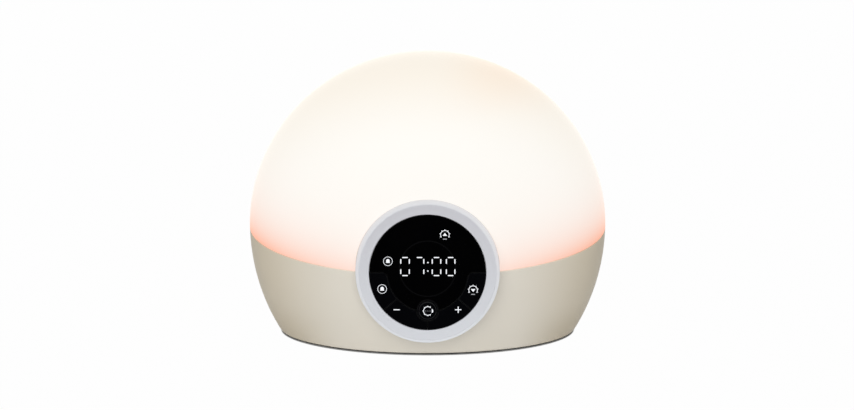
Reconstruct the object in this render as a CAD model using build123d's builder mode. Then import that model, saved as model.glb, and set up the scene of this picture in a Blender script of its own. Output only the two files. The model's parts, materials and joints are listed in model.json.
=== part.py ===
"""Sunrise alarm clock: an oval domed wake-up light that stands on a table.

An opal diffuser closes the top of a satin housing along a slanted seam. A round control head with
a black display window and five push buttons looks out of the front. Millimetres, +Z up, the front
faces -Y, and the origin is under the middle of the clock, on the table.
"""

import os
from math import asin, cos, degrees, radians, sin, tan

from build123d import *

os.makedirs("parts", exist_ok=True)

# ---------------------------------------------------------------- driving dimensions
# The body is a solid of revolution squeezed front to back. BODY_Y is where its own axis stands,
# so that the clock with its head is centred over the origin.
WIDTH = 205.0
DEPTH = 110.0
WIDEST_Z = 63.0
TOP_RISE = 102.0
LOW_RISE = 113.5
BODY_Y = 5.5
WALL = 2.4

# Underside: rubber feet, then the dark cover's flange, which sits in a seat in the housing's floor.
FOOT_PROUD = 0.2
FOOT_T = 0.9
FOOT_R = 5.0
FOOT_XY = (50.0, 27.0)
FLANGE = (84.0, 45.1)
COVER_T = 1.5
SEAT_SLIP = 0.2
SEAT_Z = FOOT_PROUD + COVER_T
HOUSING_Z = 0.9
FLOOR_Z = SEAT_Z + WALL
CORNER_R = 2.0
INNER_CORNER_R = 2.6
OPENING = (112.0, 56.0)
OPENING_R = 10.0
PLUG_SLIP = 0.3
PLUG = (OPENING[0] - 2 * PLUG_SLIP, OPENING[1] - 2 * PLUG_SLIP)
SOUND_SLOT = (14.0, 2.0)
SOUND_SLOTS = 5
SOUND_PITCH = 5.0
POST_XY = (66.0, 21.0)
POST_R = 3.8
COVER_EDGE = 0.25
FOOT_EDGE = 0.15

# The seam between the diffuser and the housing drops towards the front.
SEAM_Z = 62.7
SEAM_TILT = 13.6
SEAM_GAP = 0.25
TONGUE = 3.2
TONGUE_SLIP = 0.1

# Control head: its face leans back. Levels in it are counted from the window's face.
HEAD_REACH = 60.8
HEAD_Z = 53.4
HEAD_TILT = 6.8
WINDOW_R = 32.1
WINDOW_T = 2.6
BEZEL_R = 39.9
BEZEL_CREST = 0.8
BEVEL = (2.2, 2.4)
BEVEL_ROUND = 1.2
LIP_EDGE = 0.25
DRUM_WALL = 2.0
DRUM_R = BEZEL_R - DRUM_WALL
DRUM_BACK = -26.0
HOLE_SLIP = 0.25
COLLAR_T = 2.7
HEAD_BOSS_R = 2.5
HEAD_BOSS_PITCH = 35.5
LUG_R = 3.8
LUG_PITCH = 44.5
LUG_T = 3.0
LUG_ANGLES = (200.0, 240.0, 300.0, 340.0)
COVER_ANGLES = (30.0, 150.0, 270.0)

# Buttons: four sectors of a band round the window's lower half, and a round one between them.
BAND_R = 22.1
BUTTON_GAP = 0.3
BUTTON_TRAVEL = 0.6
SIDE_SPLIT = 41.0
FLANGE_R = 33.2
FLANGE_LEVEL = -2.9
FLANGE_T = 1.2
FLANGE_BACK = FLANGE_LEVEL - FLANGE_T
LIP_R = WINDOW_R + BUTTON_GAP
CATCH = 1.0
SHOULDER_R = 3.0
ROUND_BUTTON = (0.0, -21.4)
ROUND_BUTTON_R = 5.8
SECTORS = {
    "alarm": (180.0, 180.0 + SIDE_SPLIT),
    "minus": (180.0 + SIDE_SPLIT, 270.0),
    "plus": (270.0, 360.0 - SIDE_SPLIT),
    "sunset": (360.0 - SIDE_SPLIT, 360.0),
}
SWITCH_PLACES = {
    "alarm": (-25.0, -9.4),
    "minus": (-17.0, -20.8),
    "light": ROUND_BUTTON,
    "plus": (17.0, -20.8),
    "sunset": (25.0, -9.4),
}

# Display board, on three bosses behind the bezel's face.
BOARD_T = 1.6
BOARD_LEVEL = -9.0
BOARD_R = 37.6
GUIDE_R = 2.0
HEAD_COVER_T = 1.6
HEAD_COVER_EDGE = 0.6
BOARD_ANGLES = (90.0, 180.0 + SIDE_SPLIT, 360.0 - SIDE_SPLIT)
SWITCH = 6.0
SWITCH_T = 3.5
SWITCH_LEVEL = BOARD_LEVEL + SWITCH_T
PLUNGER_R = 1.7
PLUNGER_T = 2.9
PLUNGER_BORE = SWITCH_LEVEL - FLANGE_BACK + PLUNGER_T + BUTTON_TRAVEL + 0.5
SWITCH_EDGE = 0.4
INDICATOR_LED = (2.0, 1.2, 0.8)
LED_POCKET_SLIP = 0.4
DISPLAY = (35.0, 16.0)
DISPLAY_LEVEL = -3.1
DISPLAY_Y = 3.3
DIGIT_XS = (-12.5, -4.7, 4.7, 12.5)
DIGIT = (5.9, 11.0)
BAR_W = 1.0
BAR_T = 0.4
COLON_YS = (0.95, 5.7)
INDICATORS = ((-21.9, 6.3), (9.3, 21.1))

# Light chamber: a level tray under the seam carries the LED board and its heat sink.
TRAY_Z = 44.0
TRAY_T = 2.0
TRAY_SLIP = 0.3
TRAY_RIM = 5.0
TRAY_WINDOW = (76.0, 26.0)
LED_BOARD = (96.0, 40.0)
LED_BOARD_Z = TRAY_Z + TRAY_T
LED_SCREWS = (43.0, 15.0)
LED_TOP_Z = LED_BOARD_Z + BOARD_T
LED_GRID = (8, 4)
LED_PITCH = (10.4, 8.8)
LED_CASE = (3.5, 2.8, 0.8)
LED_LENS = (1.1, 0.2)
SINK_BASE = (92.0, 36.0, 3.5)
FIN = (1.5, 9.0)
FINS = 11
FIN_PITCH = 8.0
DRUM_CLEARANCE = 1.5
LED_LEAD_SLOT = (4.0, 11.0)

# Main board, on the bottom cover's standoffs.
MAIN_BOARD = (100.0, 46.0)
MAIN_BOARD_Z = 9.5
MAIN_TOP_Z = MAIN_BOARD_Z + BOARD_T
STANDOFF_XY = (45.0, 18.0)
STANDOFF_R = 3.0
CONNECTOR_T = 4.0
CONNECTOR_TOP_Z = MAIN_TOP_Z + CONNECTOR_T

# Components of the main board: places from its centre, then radius and height, or three sides.
CAPACITOR_PLACES = [(24.0, 12.0), (36.0, 12.0)]
CAPACITOR = (5.0, 12.5)
INDUCTOR_PLACE = (24.0, -6.0)
INDUCTOR = (12.0, 12.0, 7.0)
CHIPS = [
    ((-10.0, 4.0), (12.0, 12.0, 1.6)),
    ((38.0, -7.0), (6.0, 5.0, 1.6)),
    ((-24.0, -4.0), (5.0, 4.0, 1.4)),
]
BACKUP_PLACE = (-34.0, -12.0)
BACKUP = (5.5, 5.0)
BEEPER_PLACE = (-32.0, 12.0)
BEEPER = (6.0, 8.5)
BEEPER_HOLE = (1.2, 1.5)
CRYSTAL_PLACE = (-20.0, -13.0)
CRYSTAL = (8.0, 3.0, 2.5)

# Flat leads between the boards: thickness, width and bend, and where each drops into its socket.
SOCKET_W = 4.0
RIBBON_W = 20.0
RIBBON = (0.9, RIBBON_W, 5.0)
POWER_LEAD = (1.4, 6.0, 1.5)
LED_LEAD = (1.4, 8.0, 2.5)
LED_LEAD_RISE = 5.0
LED_SOCKET = (5.0, 12.0)
RIBBON_Y = -20.0
RIBBON_DROP_Y = 20.8
POWER_DROP_Y = 19.5
LED_LEAD_X = -56.0
LED_DROP_X = -45.0
LED_SOCKET_X = -43.0

# Direct-current inlet for a 5.5 / 2.1 mm barrel plug, in a recess of the rear wall.
INLET_Z = 17.0
INLET_FLOOR = 44.4
RECESS_R = 7.0
BARREL_R = 4.4
BARREL_T = 12.4
TERMINAL_T = 3.0
INLET_FLANGE = (6.2, 0.8)
PLUG_BORE = (2.9, 9.5)
PLUG_PIN = (1.05, 9.0)
NUT = (5.5, 2.5)

# Screws: shank and head sizes, lengths, and the pilot and clearance holes that go with them.
SCREW_R = 1.2
SCREW_HEAD = (2.3, 1.5)
SCREW_HEAD_ROUND = 0.5
SCREW_LENGTHS = {
    "bottom_cover": 9.0,
    "display_board": 6.0,
    "head_cover": 8.5,
    "head": 6.8,
    "led_board": 6.5,
    "tray": 9.0,
    "main_board": 7.5,
}
PILOT_DEPTHS = {
    "post": 9.0,
    "standoff": 6.5,
    "lug": 4.5,
    "board_boss": 5.0,
    "cover_boss": 8.0,
}
SUNK_HEAD_R = 2.6
PILOT_R = SCREW_R + 0.05
CLEAR_R = SCREW_R + 0.2
CROSS = (0.6, 2.6)
CROSS_DEPTH = 0.8

# ---------------------------------------------------------------- planes
HEAD = Plane(
    origin=(0, BODY_Y - HEAD_REACH, HEAD_Z),
    x_dir=(1, 0, 0),
    z_dir=(0, -cos(radians(HEAD_TILT)), sin(radians(HEAD_TILT))),
)
HEAD_PROFILE = Plane(origin=HEAD.origin, x_dir=HEAD.x_dir, z_dir=-HEAD.y_dir)
HEAD_AXIS = Axis(HEAD.origin, HEAD.z_dir)
SEAM = Plane(
    origin=(0, BODY_Y, SEAM_Z),
    x_dir=(1, 0, 0),
    z_dir=(0, -sin(radians(SEAM_TILT)), cos(radians(SEAM_TILT))),
)
INLET = Plane(origin=(0, BODY_Y + INLET_FLOOR, INLET_Z), x_dir=(-1, 0, 0), z_dir=(0, 1, 0))
SIDE = Plane(origin=(0, BODY_Y, 0), x_dir=(0, 1, 0), z_dir=(1, 0, 0))
ACROSS = Plane(origin=(0, BODY_Y, 0), x_dir=(1, 0, 0), z_dir=(0, -1, 0))


def level(z):
    """A level sketch plane at height z, centred on the body's own axis."""
    return Plane(origin=(0, BODY_Y, z), x_dir=(1, 0, 0), z_dir=(0, 0, 1))


def polar(radius, angle):
    """The point at a radius and an angle, in degrees, of a plane."""
    return (radius * cos(radians(angle)), radius * sin(radians(angle)))


def ring(radius, angles):
    """Points at one radius."""
    return [polar(radius, angle) for angle in angles]


def corners(place):
    """The four mirror images of a point."""
    x, y = place
    return [(x, y), (-x, y), (-x, -y), (x, -y)]


def finish(piece, name):
    """Labels a finished sub-part and writes it."""
    piece.part.label = name
    export_step(piece.part, f"parts/{name}.step")


def discs(plane, places, radius, height, mode=Mode.ADD):
    """Round bosses, or holes, that rise from a plane inside the current part."""
    with BuildSketch(plane) as outline:
        with Locations(*places):
            Circle(radius)
    extrude(outline.sketch, amount=height, mode=mode)


def blocks(plane, places, size, height, corner_r=0.0, mode=Mode.ADD):
    """Upright blocks, or pockets, that rise from a plane inside the current part."""
    with BuildSketch(plane) as outline:
        with Locations(*places):
            if corner_r:
                RectangleRounded(*size, corner_r)
            else:
                Rectangle(*size)
    extrude(outline.sketch, amount=height, mode=mode)


def make_screws(what, seat, places, out=1):
    """Pan-head screws whose heads stand on the seat plane's out side, with shanks behind it."""
    head_r, head_t = SCREW_HEAD
    top = seat.offset(out * head_t)
    with BuildPart() as screws:
        discs(seat, places, head_r, out * head_t)
        rims = screws.faces().sort_by(Axis(seat.origin, seat.z_dir * out))[-len(places):]
        fillet(rims.edges(), SCREW_HEAD_ROUND)
        discs(seat, places, SCREW_R, -out * SCREW_LENGTHS[what])
        for slot in (CROSS, CROSS[::-1]):
            blocks(top, places, slot, -out * CROSS_DEPTH, mode=Mode.SUBTRACT)
    finish(screws, f"{what}_screws")


BOARD_SEAT = HEAD.offset(BOARD_LEVEL)
DRUM_SEAT = HEAD.offset(DRUM_BACK)
LUG_SEAT = HEAD.offset(DRUM_BACK + LUG_T)
BOARD_HOLES = ring(HEAD_BOSS_PITCH, BOARD_ANGLES)
COVER_HOLES = ring(HEAD_BOSS_PITCH, COVER_ANGLES)
LUG_HOLES = ring(LUG_PITCH, LUG_ANGLES)


# ---------------------------------------------------------------- body forms
def oval_form(inset, floor_z, corner_r):
    """The body's outer shape moved inward by inset, flat at floor_z."""
    half_width = WIDTH / 2 - inset
    low_rise = LOW_RISE - inset
    floor_angle = degrees(asin((WIDEST_Z - floor_z) / low_rise))
    with BuildPart() as form:
        with BuildSketch(Plane.XZ):
            with BuildLine():
                crown = EllipticalCenterArc(
                    (0, WIDEST_Z), half_width, TOP_RISE - inset, 0, arc_size=90
                )
                flank = EllipticalCenterArc(
                    (0, WIDEST_Z), half_width, low_rise, -floor_angle, arc_size=floor_angle
                )
                Line(crown @ 1, (0, floor_z))
                Line((0, floor_z), flank @ 0)
            face = make_face()
            fillet(face.vertices().sort_by(Axis.Y)[:2].sort_by(Axis.X)[-1], corner_r)
        revolve(axis=Axis.Z)
        scale(by=(1, (DEPTH / 2 - inset) / half_width, 1))
    return form.part.moved(Location((0, BODY_Y, 0)))


outer_form = oval_form(0, HOUSING_Z, CORNER_R)
cavity_form = oval_form(WALL, FLOOR_Z, INNER_CORNER_R)
mid_form = oval_form(WALL / 2, FLOOR_Z, INNER_CORNER_R)
tongue_form = oval_form(WALL / 2 + TONGUE_SLIP, FLOOR_Z, INNER_CORNER_R)
tray_form = oval_form(WALL + TRAY_SLIP, FLOOR_Z, INNER_CORNER_R)
rim_form = oval_form(WALL + TRAY_SLIP + TRAY_T, FLOOR_Z, INNER_CORNER_R)

# The round hole in dome and housing that the head looks out of.
with BuildPart() as head_hole:
    discs(HEAD, [(0, 0)], BEZEL_R + HOLE_SLIP, DRUM_BACK - HEAD_COVER_T)

# ---------------------------------------------------------------- diffuser dome
with BuildPart() as tongue_ring:
    add(tongue_form)
    split(bisect_by=SEAM.offset(-TONGUE), keep=Keep.TOP)
    split(bisect_by=SEAM.offset(SEAM_GAP + 1), keep=Keep.BOTTOM)

with BuildPart() as diffuser_dome:
    add(outer_form)
    split(bisect_by=SEAM.offset(SEAM_GAP), keep=Keep.TOP)
    add(tongue_ring.part)
    add(cavity_form, mode=Mode.SUBTRACT)
    add(head_hole.part, mode=Mode.SUBTRACT)
finish(diffuser_dome, "diffuser_dome")

# ---------------------------------------------------------------- base housing
# The rebate that takes the dome's tongue is one slip wider and deeper than the tongue.
with BuildPart() as rebate:
    add(mid_form)
    split(bisect_by=SEAM.offset(-TONGUE - 2 * TONGUE_SLIP), keep=Keep.TOP)

# Bosses are drawn long and end inside the wall.
with BuildPart() as head_bosses:
    discs(LUG_SEAT, LUG_HOLES, LUG_R, -DRUM_BACK)
    add(mid_form, mode=Mode.INTERSECT)

with BuildPart() as inlet_boss:
    discs(INLET.offset(-WALL), [(0, 0)], RECESS_R + WALL, 4 * WALL)
    add(mid_form, mode=Mode.INTERSECT)

with BuildPart() as base_housing:
    add(outer_form)
    add(cavity_form, mode=Mode.SUBTRACT)
    split(bisect_by=SEAM, keep=Keep.BOTTOM)
    add(rebate.part, mode=Mode.SUBTRACT)
    discs(level(FLOOR_Z), corners(POST_XY), POST_R, TRAY_Z - FLOOR_Z)
    add(head_bosses.part)
    add(inlet_boss.part)
    add(head_hole.part, mode=Mode.SUBTRACT)
    discs(LUG_SEAT, LUG_HOLES, PILOT_R, PILOT_DEPTHS["lug"], Mode.SUBTRACT)
    discs(level(TRAY_Z), corners(POST_XY), PILOT_R, -PILOT_DEPTHS["post"], Mode.SUBTRACT)
    with BuildSketch(level(HOUSING_Z)):
        Ellipse(FLANGE[0] + SEAT_SLIP, FLANGE[1] + SEAT_SLIP)
    extrude(amount=SEAT_Z - HOUSING_Z, mode=Mode.SUBTRACT)
    discs(level(SEAT_Z), corners(POST_XY), PILOT_R, PILOT_DEPTHS["post"], Mode.SUBTRACT)
    blocks(level(SEAT_Z), [(0, 0)], OPENING, WALL, OPENING_R, Mode.SUBTRACT)
    discs(INLET, [(0, 0)], RECESS_R, 4 * WALL, Mode.SUBTRACT)
    discs(INLET, [(0, 0)], BARREL_R + HOLE_SLIP, -2 * WALL, Mode.SUBTRACT)
finish(base_housing, "base_housing")

# ---------------------------------------------------------------- bottom cover and feet
with BuildPart() as bottom_cover:
    with BuildSketch(level(FOOT_PROUD)):
        Ellipse(*FLANGE)
    extrude(amount=COVER_T)
    chamfer(bottom_cover.faces().sort_by(Axis.Z)[0].edges(), COVER_EDGE)
    blocks(level(SEAT_Z), [(0, 0)], PLUG, WALL, OPENING_R - PLUG_SLIP)
    discs(level(FLOOR_Z), corners(STANDOFF_XY), STANDOFF_R, MAIN_BOARD_Z - FLOOR_Z)
    standoff_pilot = -PILOT_DEPTHS["standoff"]
    discs(level(MAIN_BOARD_Z), corners(STANDOFF_XY), PILOT_R, standoff_pilot, Mode.SUBTRACT)
    discs(level(FOOT_PROUD), corners(FOOT_XY), FOOT_R + TONGUE_SLIP, FOOT_T - FOOT_PROUD, Mode.SUBTRACT)
    with BuildSketch(level(FOOT_PROUD)):
        with Locations(*corners(POST_XY)):
            Circle(SUNK_HEAD_R + TONGUE_SLIP)
    extrude(amount=SUNK_HEAD_R - SCREW_R, taper=45, mode=Mode.SUBTRACT)
    discs(level(FOOT_PROUD), corners(POST_XY), CLEAR_R, COVER_T, Mode.SUBTRACT)
    with BuildSketch(level(FOOT_PROUD)):
        with GridLocations(SOUND_PITCH, 0, SOUND_SLOTS, 1):
            SlotOverall(*SOUND_SLOT, rotation=90)
    extrude(amount=COVER_T + WALL, mode=Mode.SUBTRACT)
finish(bottom_cover, "bottom_cover")

with BuildPart() as rubber_feet:
    discs(level(0), corners(FOOT_XY), FOOT_R, FOOT_T)
    chamfer(rubber_feet.faces().sort_by(Axis.Z)[:4].edges(), FOOT_EDGE)
finish(rubber_feet, "rubber_feet")

with BuildPart() as bottom_cover_screws:
    head_face = level(FOOT_PROUD + TONGUE_SLIP)
    with BuildSketch(head_face):
        with Locations(*corners(POST_XY)):
            Circle(SUNK_HEAD_R)
    extrude(amount=SUNK_HEAD_R - SCREW_R, taper=45)
    discs(head_face, corners(POST_XY), SCREW_R, SCREW_LENGTHS["bottom_cover"])
    for slot in (CROSS, CROSS[::-1]):
        blocks(head_face, corners(POST_XY), slot, CROSS_DEPTH, mode=Mode.SUBTRACT)
finish(bottom_cover_screws, "bottom_cover_screws")

# ---------------------------------------------------------------- control head
with BuildPart() as display_bezel:
    with BuildSketch(HEAD_PROFILE) as drum:
        with BuildLine():
            Polyline(
                (LIP_R, -COLLAR_T),
                (LIP_R, 0),
                (BEZEL_R - BEVEL[0], BEZEL_CREST),
                (BEZEL_R, -BEVEL[1]),
                (BEZEL_R, DRUM_BACK),
                (DRUM_R, DRUM_BACK),
                (DRUM_R, -COLLAR_T),
                close=True,
            )
        make_face()
        fillet(drum.vertices().sort_by(Axis.Y)[-1], BEVEL_ROUND)
        fillet(drum.vertices().group_by(Axis.X)[-1].sort_by(Axis.Y)[-1], BEVEL_ROUND)
        chamfer(drum.vertices().group_by(Axis.X)[0].sort_by(Axis.Y)[-1], LIP_EDGE)
    revolve(axis=HEAD_AXIS)
    discs(BOARD_SEAT, BOARD_HOLES, HEAD_BOSS_R, -BOARD_LEVEL - COLLAR_T)
    discs(BOARD_SEAT, BOARD_HOLES, PILOT_R, PILOT_DEPTHS["board_boss"], Mode.SUBTRACT)
    discs(DRUM_SEAT, COVER_HOLES, HEAD_BOSS_R, FLANGE_BACK - 1 - DRUM_BACK)
    discs(DRUM_SEAT, COVER_HOLES, PILOT_R, PILOT_DEPTHS["cover_boss"], Mode.SUBTRACT)
    with BuildSketch(DRUM_SEAT):
        with Locations(*LUG_HOLES):
            Circle(LUG_R)
        for angle in LUG_ANGLES:
            with PolarLocations(LUG_PITCH - LUG_R, 1, angle):
                Rectangle(2 * LUG_R, 2 * LUG_R)
        Circle(DRUM_R + 0.5, mode=Mode.SUBTRACT)
    extrude(amount=LUG_T)
    discs(DRUM_SEAT, LUG_HOLES, CLEAR_R, LUG_T, Mode.SUBTRACT)
finish(display_bezel, "display_bezel")


def half_ring(outer_r, inner_r):
    """The upper half of a ring, as a sketch, half a button gap above the middle."""
    with BuildSketch(mode=Mode.PRIVATE) as arch:
        Circle(outer_r)
        Circle(inner_r, mode=Mode.SUBTRACT)
        with Locations((0, BUTTON_GAP / 2 - outer_r)):
            Rectangle(2 * outer_r, 2 * outer_r, mode=Mode.SUBTRACT)
    return arch.sketch


with BuildPart() as display_window:
    with BuildSketch(HEAD) as face:
        Circle(BAND_R)
        add(half_ring(WINDOW_R, BAND_R))
        notches = face.vertices().filter_by(lambda v: abs(v.Y - BUTTON_GAP / 2) < 1e-3)
        fillet(notches.sort_by(lambda v: abs(v.X))[:2], SHOULDER_R + BUTTON_GAP)
        with Locations(ROUND_BUTTON):
            Circle(ROUND_BUTTON_R + BUTTON_GAP, mode=Mode.SUBTRACT)
    extrude(amount=-WINDOW_T)
    with BuildSketch(HEAD.offset(-WINDOW_T)):
        add(half_ring(WINDOW_R, WINDOW_R - 2))
    extrude(amount=FLANGE_BACK + WINDOW_T)
    with BuildSketch(HEAD.offset(FLANGE_LEVEL)):
        add(half_ring(FLANGE_R, WINDOW_R - 2))
        with Locations(*BOARD_HOLES):
            Circle(HEAD_BOSS_R + TONGUE_SLIP, mode=Mode.SUBTRACT)
    extrude(amount=-FLANGE_T)
finish(display_window, "display_window")


def wedge(start, end):
    """The sector of the plane between two angles, half a button gap inside its sides."""
    reach = 2 * WINDOW_R
    with BuildSketch(mode=Mode.PRIVATE) as sector:
        with BuildLine():
            Polyline((0, 0), polar(reach, start), polar(reach, end), close=True)
        make_face()
        offset(amount=-BUTTON_GAP / 2, kind=Kind.INTERSECTION)
    return sector.sketch


def band(sector, outer_r, inner_r, round_r):
    """A sector of the band between two radii, clear of a circle about the round button."""
    with BuildSketch(mode=Mode.PRIVATE) as outline:
        Circle(outer_r)
        Circle(inner_r, mode=Mode.SUBTRACT)
        add(wedge(*sector), mode=Mode.INTERSECT)
        with Locations(ROUND_BUTTON):
            Circle(round_r, mode=Mode.SUBTRACT)
        with Locations(*BOARD_HOLES):
            Circle(HEAD_BOSS_R + BUTTON_GAP, mode=Mode.SUBTRACT)
    return outline.sketch


# A band button is a thick cap with a flange that catches behind the bezel and the window.
for name, sector in SECTORS.items():
    with BuildPart() as button:
        with BuildSketch(HEAD) as cap:
            add(band(sector, WINDOW_R, BAND_R + BUTTON_GAP, ROUND_BUTTON_R + BUTTON_GAP))
            shoulders = cap.vertices().filter_by(lambda v: v.Y > -BUTTON_GAP)
            if shoulders:
                fillet(shoulders.sort_by(lambda v: abs(v.X))[0], SHOULDER_R)
        extrude(amount=FLANGE_BACK)
        with BuildSketch(HEAD.offset(FLANGE_LEVEL)):
            add(band(sector, FLANGE_R, BAND_R - CATCH, ROUND_BUTTON_R + CATCH + BUTTON_GAP))
        extrude(amount=-FLANGE_T)
    finish(button, f"{name}_button")

with BuildPart() as light_button:
    discs(HEAD, [ROUND_BUTTON], ROUND_BUTTON_R, FLANGE_BACK)
    with BuildSketch(HEAD.offset(FLANGE_LEVEL)):
        with Locations(ROUND_BUTTON):
            Circle(ROUND_BUTTON_R + CATCH)
        Circle(BAND_R, mode=Mode.INTERSECT)
    extrude(amount=-FLANGE_T)
finish(light_button, "light_button")

# Behind each button is the plunger of its push switch, which travels with it.
for name, place in SWITCH_PLACES.items():
    with BuildPart() as plunger:
        discs(HEAD.offset(FLANGE_BACK), [place], PLUNGER_R, -PLUNGER_T)
    finish(plunger, f"{name}_switch_plunger")

# ---------------------------------------------------------------- display board
with BuildPart() as display_board:
    with BuildSketch(BOARD_SEAT):
        Circle(BOARD_R)
        with Locations(*COVER_HOLES):
            Circle(HEAD_BOSS_R + BUTTON_GAP, mode=Mode.SUBTRACT)
        with Locations(*BOARD_HOLES):
            Circle(CLEAR_R, mode=Mode.SUBTRACT)
    extrude(amount=-BOARD_T)
finish(display_board, "display_board")

with BuildPart() as tact_switches:
    blocks(BOARD_SEAT, SWITCH_PLACES.values(), (SWITCH, SWITCH), SWITCH_T, SWITCH_EDGE)
    switch_top = HEAD.offset(SWITCH_LEVEL)
    bore_r = PLUNGER_R + TONGUE_SLIP
    discs(switch_top, SWITCH_PLACES.values(), bore_r, -PLUNGER_BORE, Mode.SUBTRACT)
finish(tact_switches, "tact_switches")

with BuildPart() as digit_display:
    blocks(BOARD_SEAT, [(0, DISPLAY_Y)], DISPLAY, DISPLAY_LEVEL - BOARD_LEVEL, 0.8)
finish(digit_display, "digit_display")


def bars():
    """The seven bars of a digit: the centre of each, and whether it stands upright."""
    side = (DIGIT[0] - BAR_W) / 2
    rise = (DIGIT[1] - BAR_W) / 2
    flat = [(0, row * rise, False) for row in (-1, 0, 1)]
    upright = [(x * side, y * rise / 2, True) for x in (-1, 1) for y in (-1, 1)]
    return flat + upright


with BuildPart() as digit_segments:
    with BuildSketch(HEAD.offset(DISPLAY_LEVEL)):
        for digit_x in DIGIT_XS:
            for x, y, upright in bars():
                span = DIGIT[1] / 2 if upright else DIGIT[0]
                with Locations((digit_x + x, DISPLAY_Y + y)):
                    SlotOverall(span - 1.5 * BAR_W, BAR_W, rotation=90 if upright else 0)
        with Locations(*[(0, y) for y in COLON_YS]):
            Circle(BAR_W / 2)
    extrude(amount=BAR_T)
finish(digit_segments, "digit_segments")

with BuildPart() as indicator_light_guides:
    discs(BOARD_SEAT, INDICATORS, GUIDE_R, DISPLAY_LEVEL + BAR_T - BOARD_LEVEL)
    pocket = [side + LED_POCKET_SLIP for side in INDICATOR_LED]
    blocks(BOARD_SEAT, INDICATORS, pocket[:2], pocket[2], mode=Mode.SUBTRACT)
finish(indicator_light_guides, "indicator_light_guides")

with BuildPart() as indicator_leds:
    blocks(BOARD_SEAT, INDICATORS, INDICATOR_LED[:2], INDICATOR_LED[2])
finish(indicator_leds, "indicator_leds")

with BuildPart() as head_cover:
    with BuildSketch(DRUM_SEAT):
        Circle(BEZEL_R - HOLE_SLIP)
        with Locations(*COVER_HOLES):
            Circle(CLEAR_R, mode=Mode.SUBTRACT)
        with Locations((0, RIBBON_Y)):
            RectangleRounded(RIBBON_W + 3, 3, 1.4, mode=Mode.SUBTRACT)
    extrude(amount=-HEAD_COVER_T)
    fillet(head_cover.faces().sort_by(HEAD_AXIS)[0].edges().sort_by(Edge.length)[-1], HEAD_COVER_EDGE)
finish(head_cover, "head_cover")

make_screws("display_board", BOARD_SEAT.offset(-BOARD_T), BOARD_HOLES, out=-1)
make_screws("head_cover", HEAD.offset(DRUM_BACK - HEAD_COVER_T), COVER_HOLES, out=-1)
make_screws("head", DRUM_SEAT, LUG_HOLES, out=-1)

# ---------------------------------------------------------------- light chamber
with BuildPart() as drum_clearance:
    discs(HEAD, [(0, 0)], BEZEL_R + DRUM_CLEARANCE, 1.5 * DRUM_BACK)

with BuildPart() as tray_well:
    add(rim_form)
    split(bisect_by=Plane.XY.offset(TRAY_Z + TRAY_T), keep=Keep.TOP)

with BuildPart() as reflector_tray:
    add(tray_form)
    split(bisect_by=Plane.XY.offset(TRAY_Z), keep=Keep.TOP)
    split(bisect_by=Plane.XY.offset(TRAY_Z + TRAY_T + TRAY_RIM), keep=Keep.BOTTOM)
    add(tray_well.part, mode=Mode.SUBTRACT)
    add(drum_clearance.part, mode=Mode.SUBTRACT)
    blocks(level(TRAY_Z), [(0, 0)], TRAY_WINDOW, TRAY_T, 3.0, Mode.SUBTRACT)
    discs(level(TRAY_Z), corners(POST_XY) + corners(LED_SCREWS), CLEAR_R, TRAY_T, Mode.SUBTRACT)
    blocks(level(TRAY_Z), [(LED_LEAD_X, 0)], LED_LEAD_SLOT, TRAY_T, 1.0, Mode.SUBTRACT)
finish(reflector_tray, "reflector_tray")

with BuildPart() as led_board:
    blocks(level(LED_BOARD_Z), [(0, 0)], LED_BOARD, BOARD_T, 3.0)
    discs(level(LED_BOARD_Z), corners(LED_SCREWS), CLEAR_R, BOARD_T, Mode.SUBTRACT)
finish(led_board, "led_board")

# White and amber light-emitting diodes alternate over the board like a chequerboard.
for colour, parity in (("white", 0), ("amber", 1)):
    columns, rows = LED_GRID
    places = [
        ((i - (columns - 1) / 2) * LED_PITCH[0], (j - (rows - 1) / 2) * LED_PITCH[1])
        for i in range(columns)
        for j in range(rows)
        if (i + j) % 2 == parity
    ]
    with BuildPart() as leds:
        blocks(level(LED_TOP_Z), places, LED_CASE[:2], LED_CASE[2])
        discs(level(LED_TOP_Z + LED_CASE[2]), places, *LED_LENS)
    finish(leds, f"{colour}_leds")

with BuildPart() as heat_sink:
    blocks(level(TRAY_Z), [(0, 0)], SINK_BASE[:2], -SINK_BASE[2], 1.0)
    pad = (TRAY_WINDOW[0] - 1, TRAY_WINDOW[1] - 1)
    blocks(level(TRAY_Z), [(0, 0)], pad, TRAY_T, 2.5)
    with BuildSketch(level(TRAY_Z - SINK_BASE[2])):
        with GridLocations(FIN_PITCH, 0, FINS, 1):
            Rectangle(FIN[0], SINK_BASE[1])
    extrude(amount=-FIN[1])
    discs(level(TRAY_Z), corners(LED_SCREWS), PILOT_R, -SINK_BASE[2], Mode.SUBTRACT)
finish(heat_sink, "heat_sink")

make_screws("led_board", level(LED_TOP_Z), corners(LED_SCREWS))
make_screws("tray", level(LED_BOARD_Z), corners(POST_XY))

# ---------------------------------------------------------------- main board
with BuildPart() as main_board:
    blocks(level(MAIN_BOARD_Z), [(0, 0)], MAIN_BOARD, BOARD_T, 2.0)
    discs(level(MAIN_BOARD_Z), corners(STANDOFF_XY), CLEAR_R, BOARD_T, Mode.SUBTRACT)
finish(main_board, "main_board")

make_screws("main_board", level(MAIN_TOP_Z), corners(STANDOFF_XY))

with BuildPart() as smoothing_capacitors:
    discs(level(MAIN_TOP_Z), CAPACITOR_PLACES, *CAPACITOR)
    fillet(smoothing_capacitors.faces().sort_by(Axis.Z)[-2:].edges(), 0.6)
finish(smoothing_capacitors, "smoothing_capacitors")

with BuildPart() as driver_inductor:
    blocks(level(MAIN_TOP_Z), [INDUCTOR_PLACE], INDUCTOR[:2], INDUCTOR[2], 2.0)
    chamfer(driver_inductor.faces().sort_by(Axis.Z)[-1].edges(), 0.5)
finish(driver_inductor, "driver_inductor")

with BuildPart() as control_chips:
    for place, size in CHIPS:
        blocks(level(MAIN_TOP_Z), [place], size[:2], size[2])
finish(control_chips, "control_chips")

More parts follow.
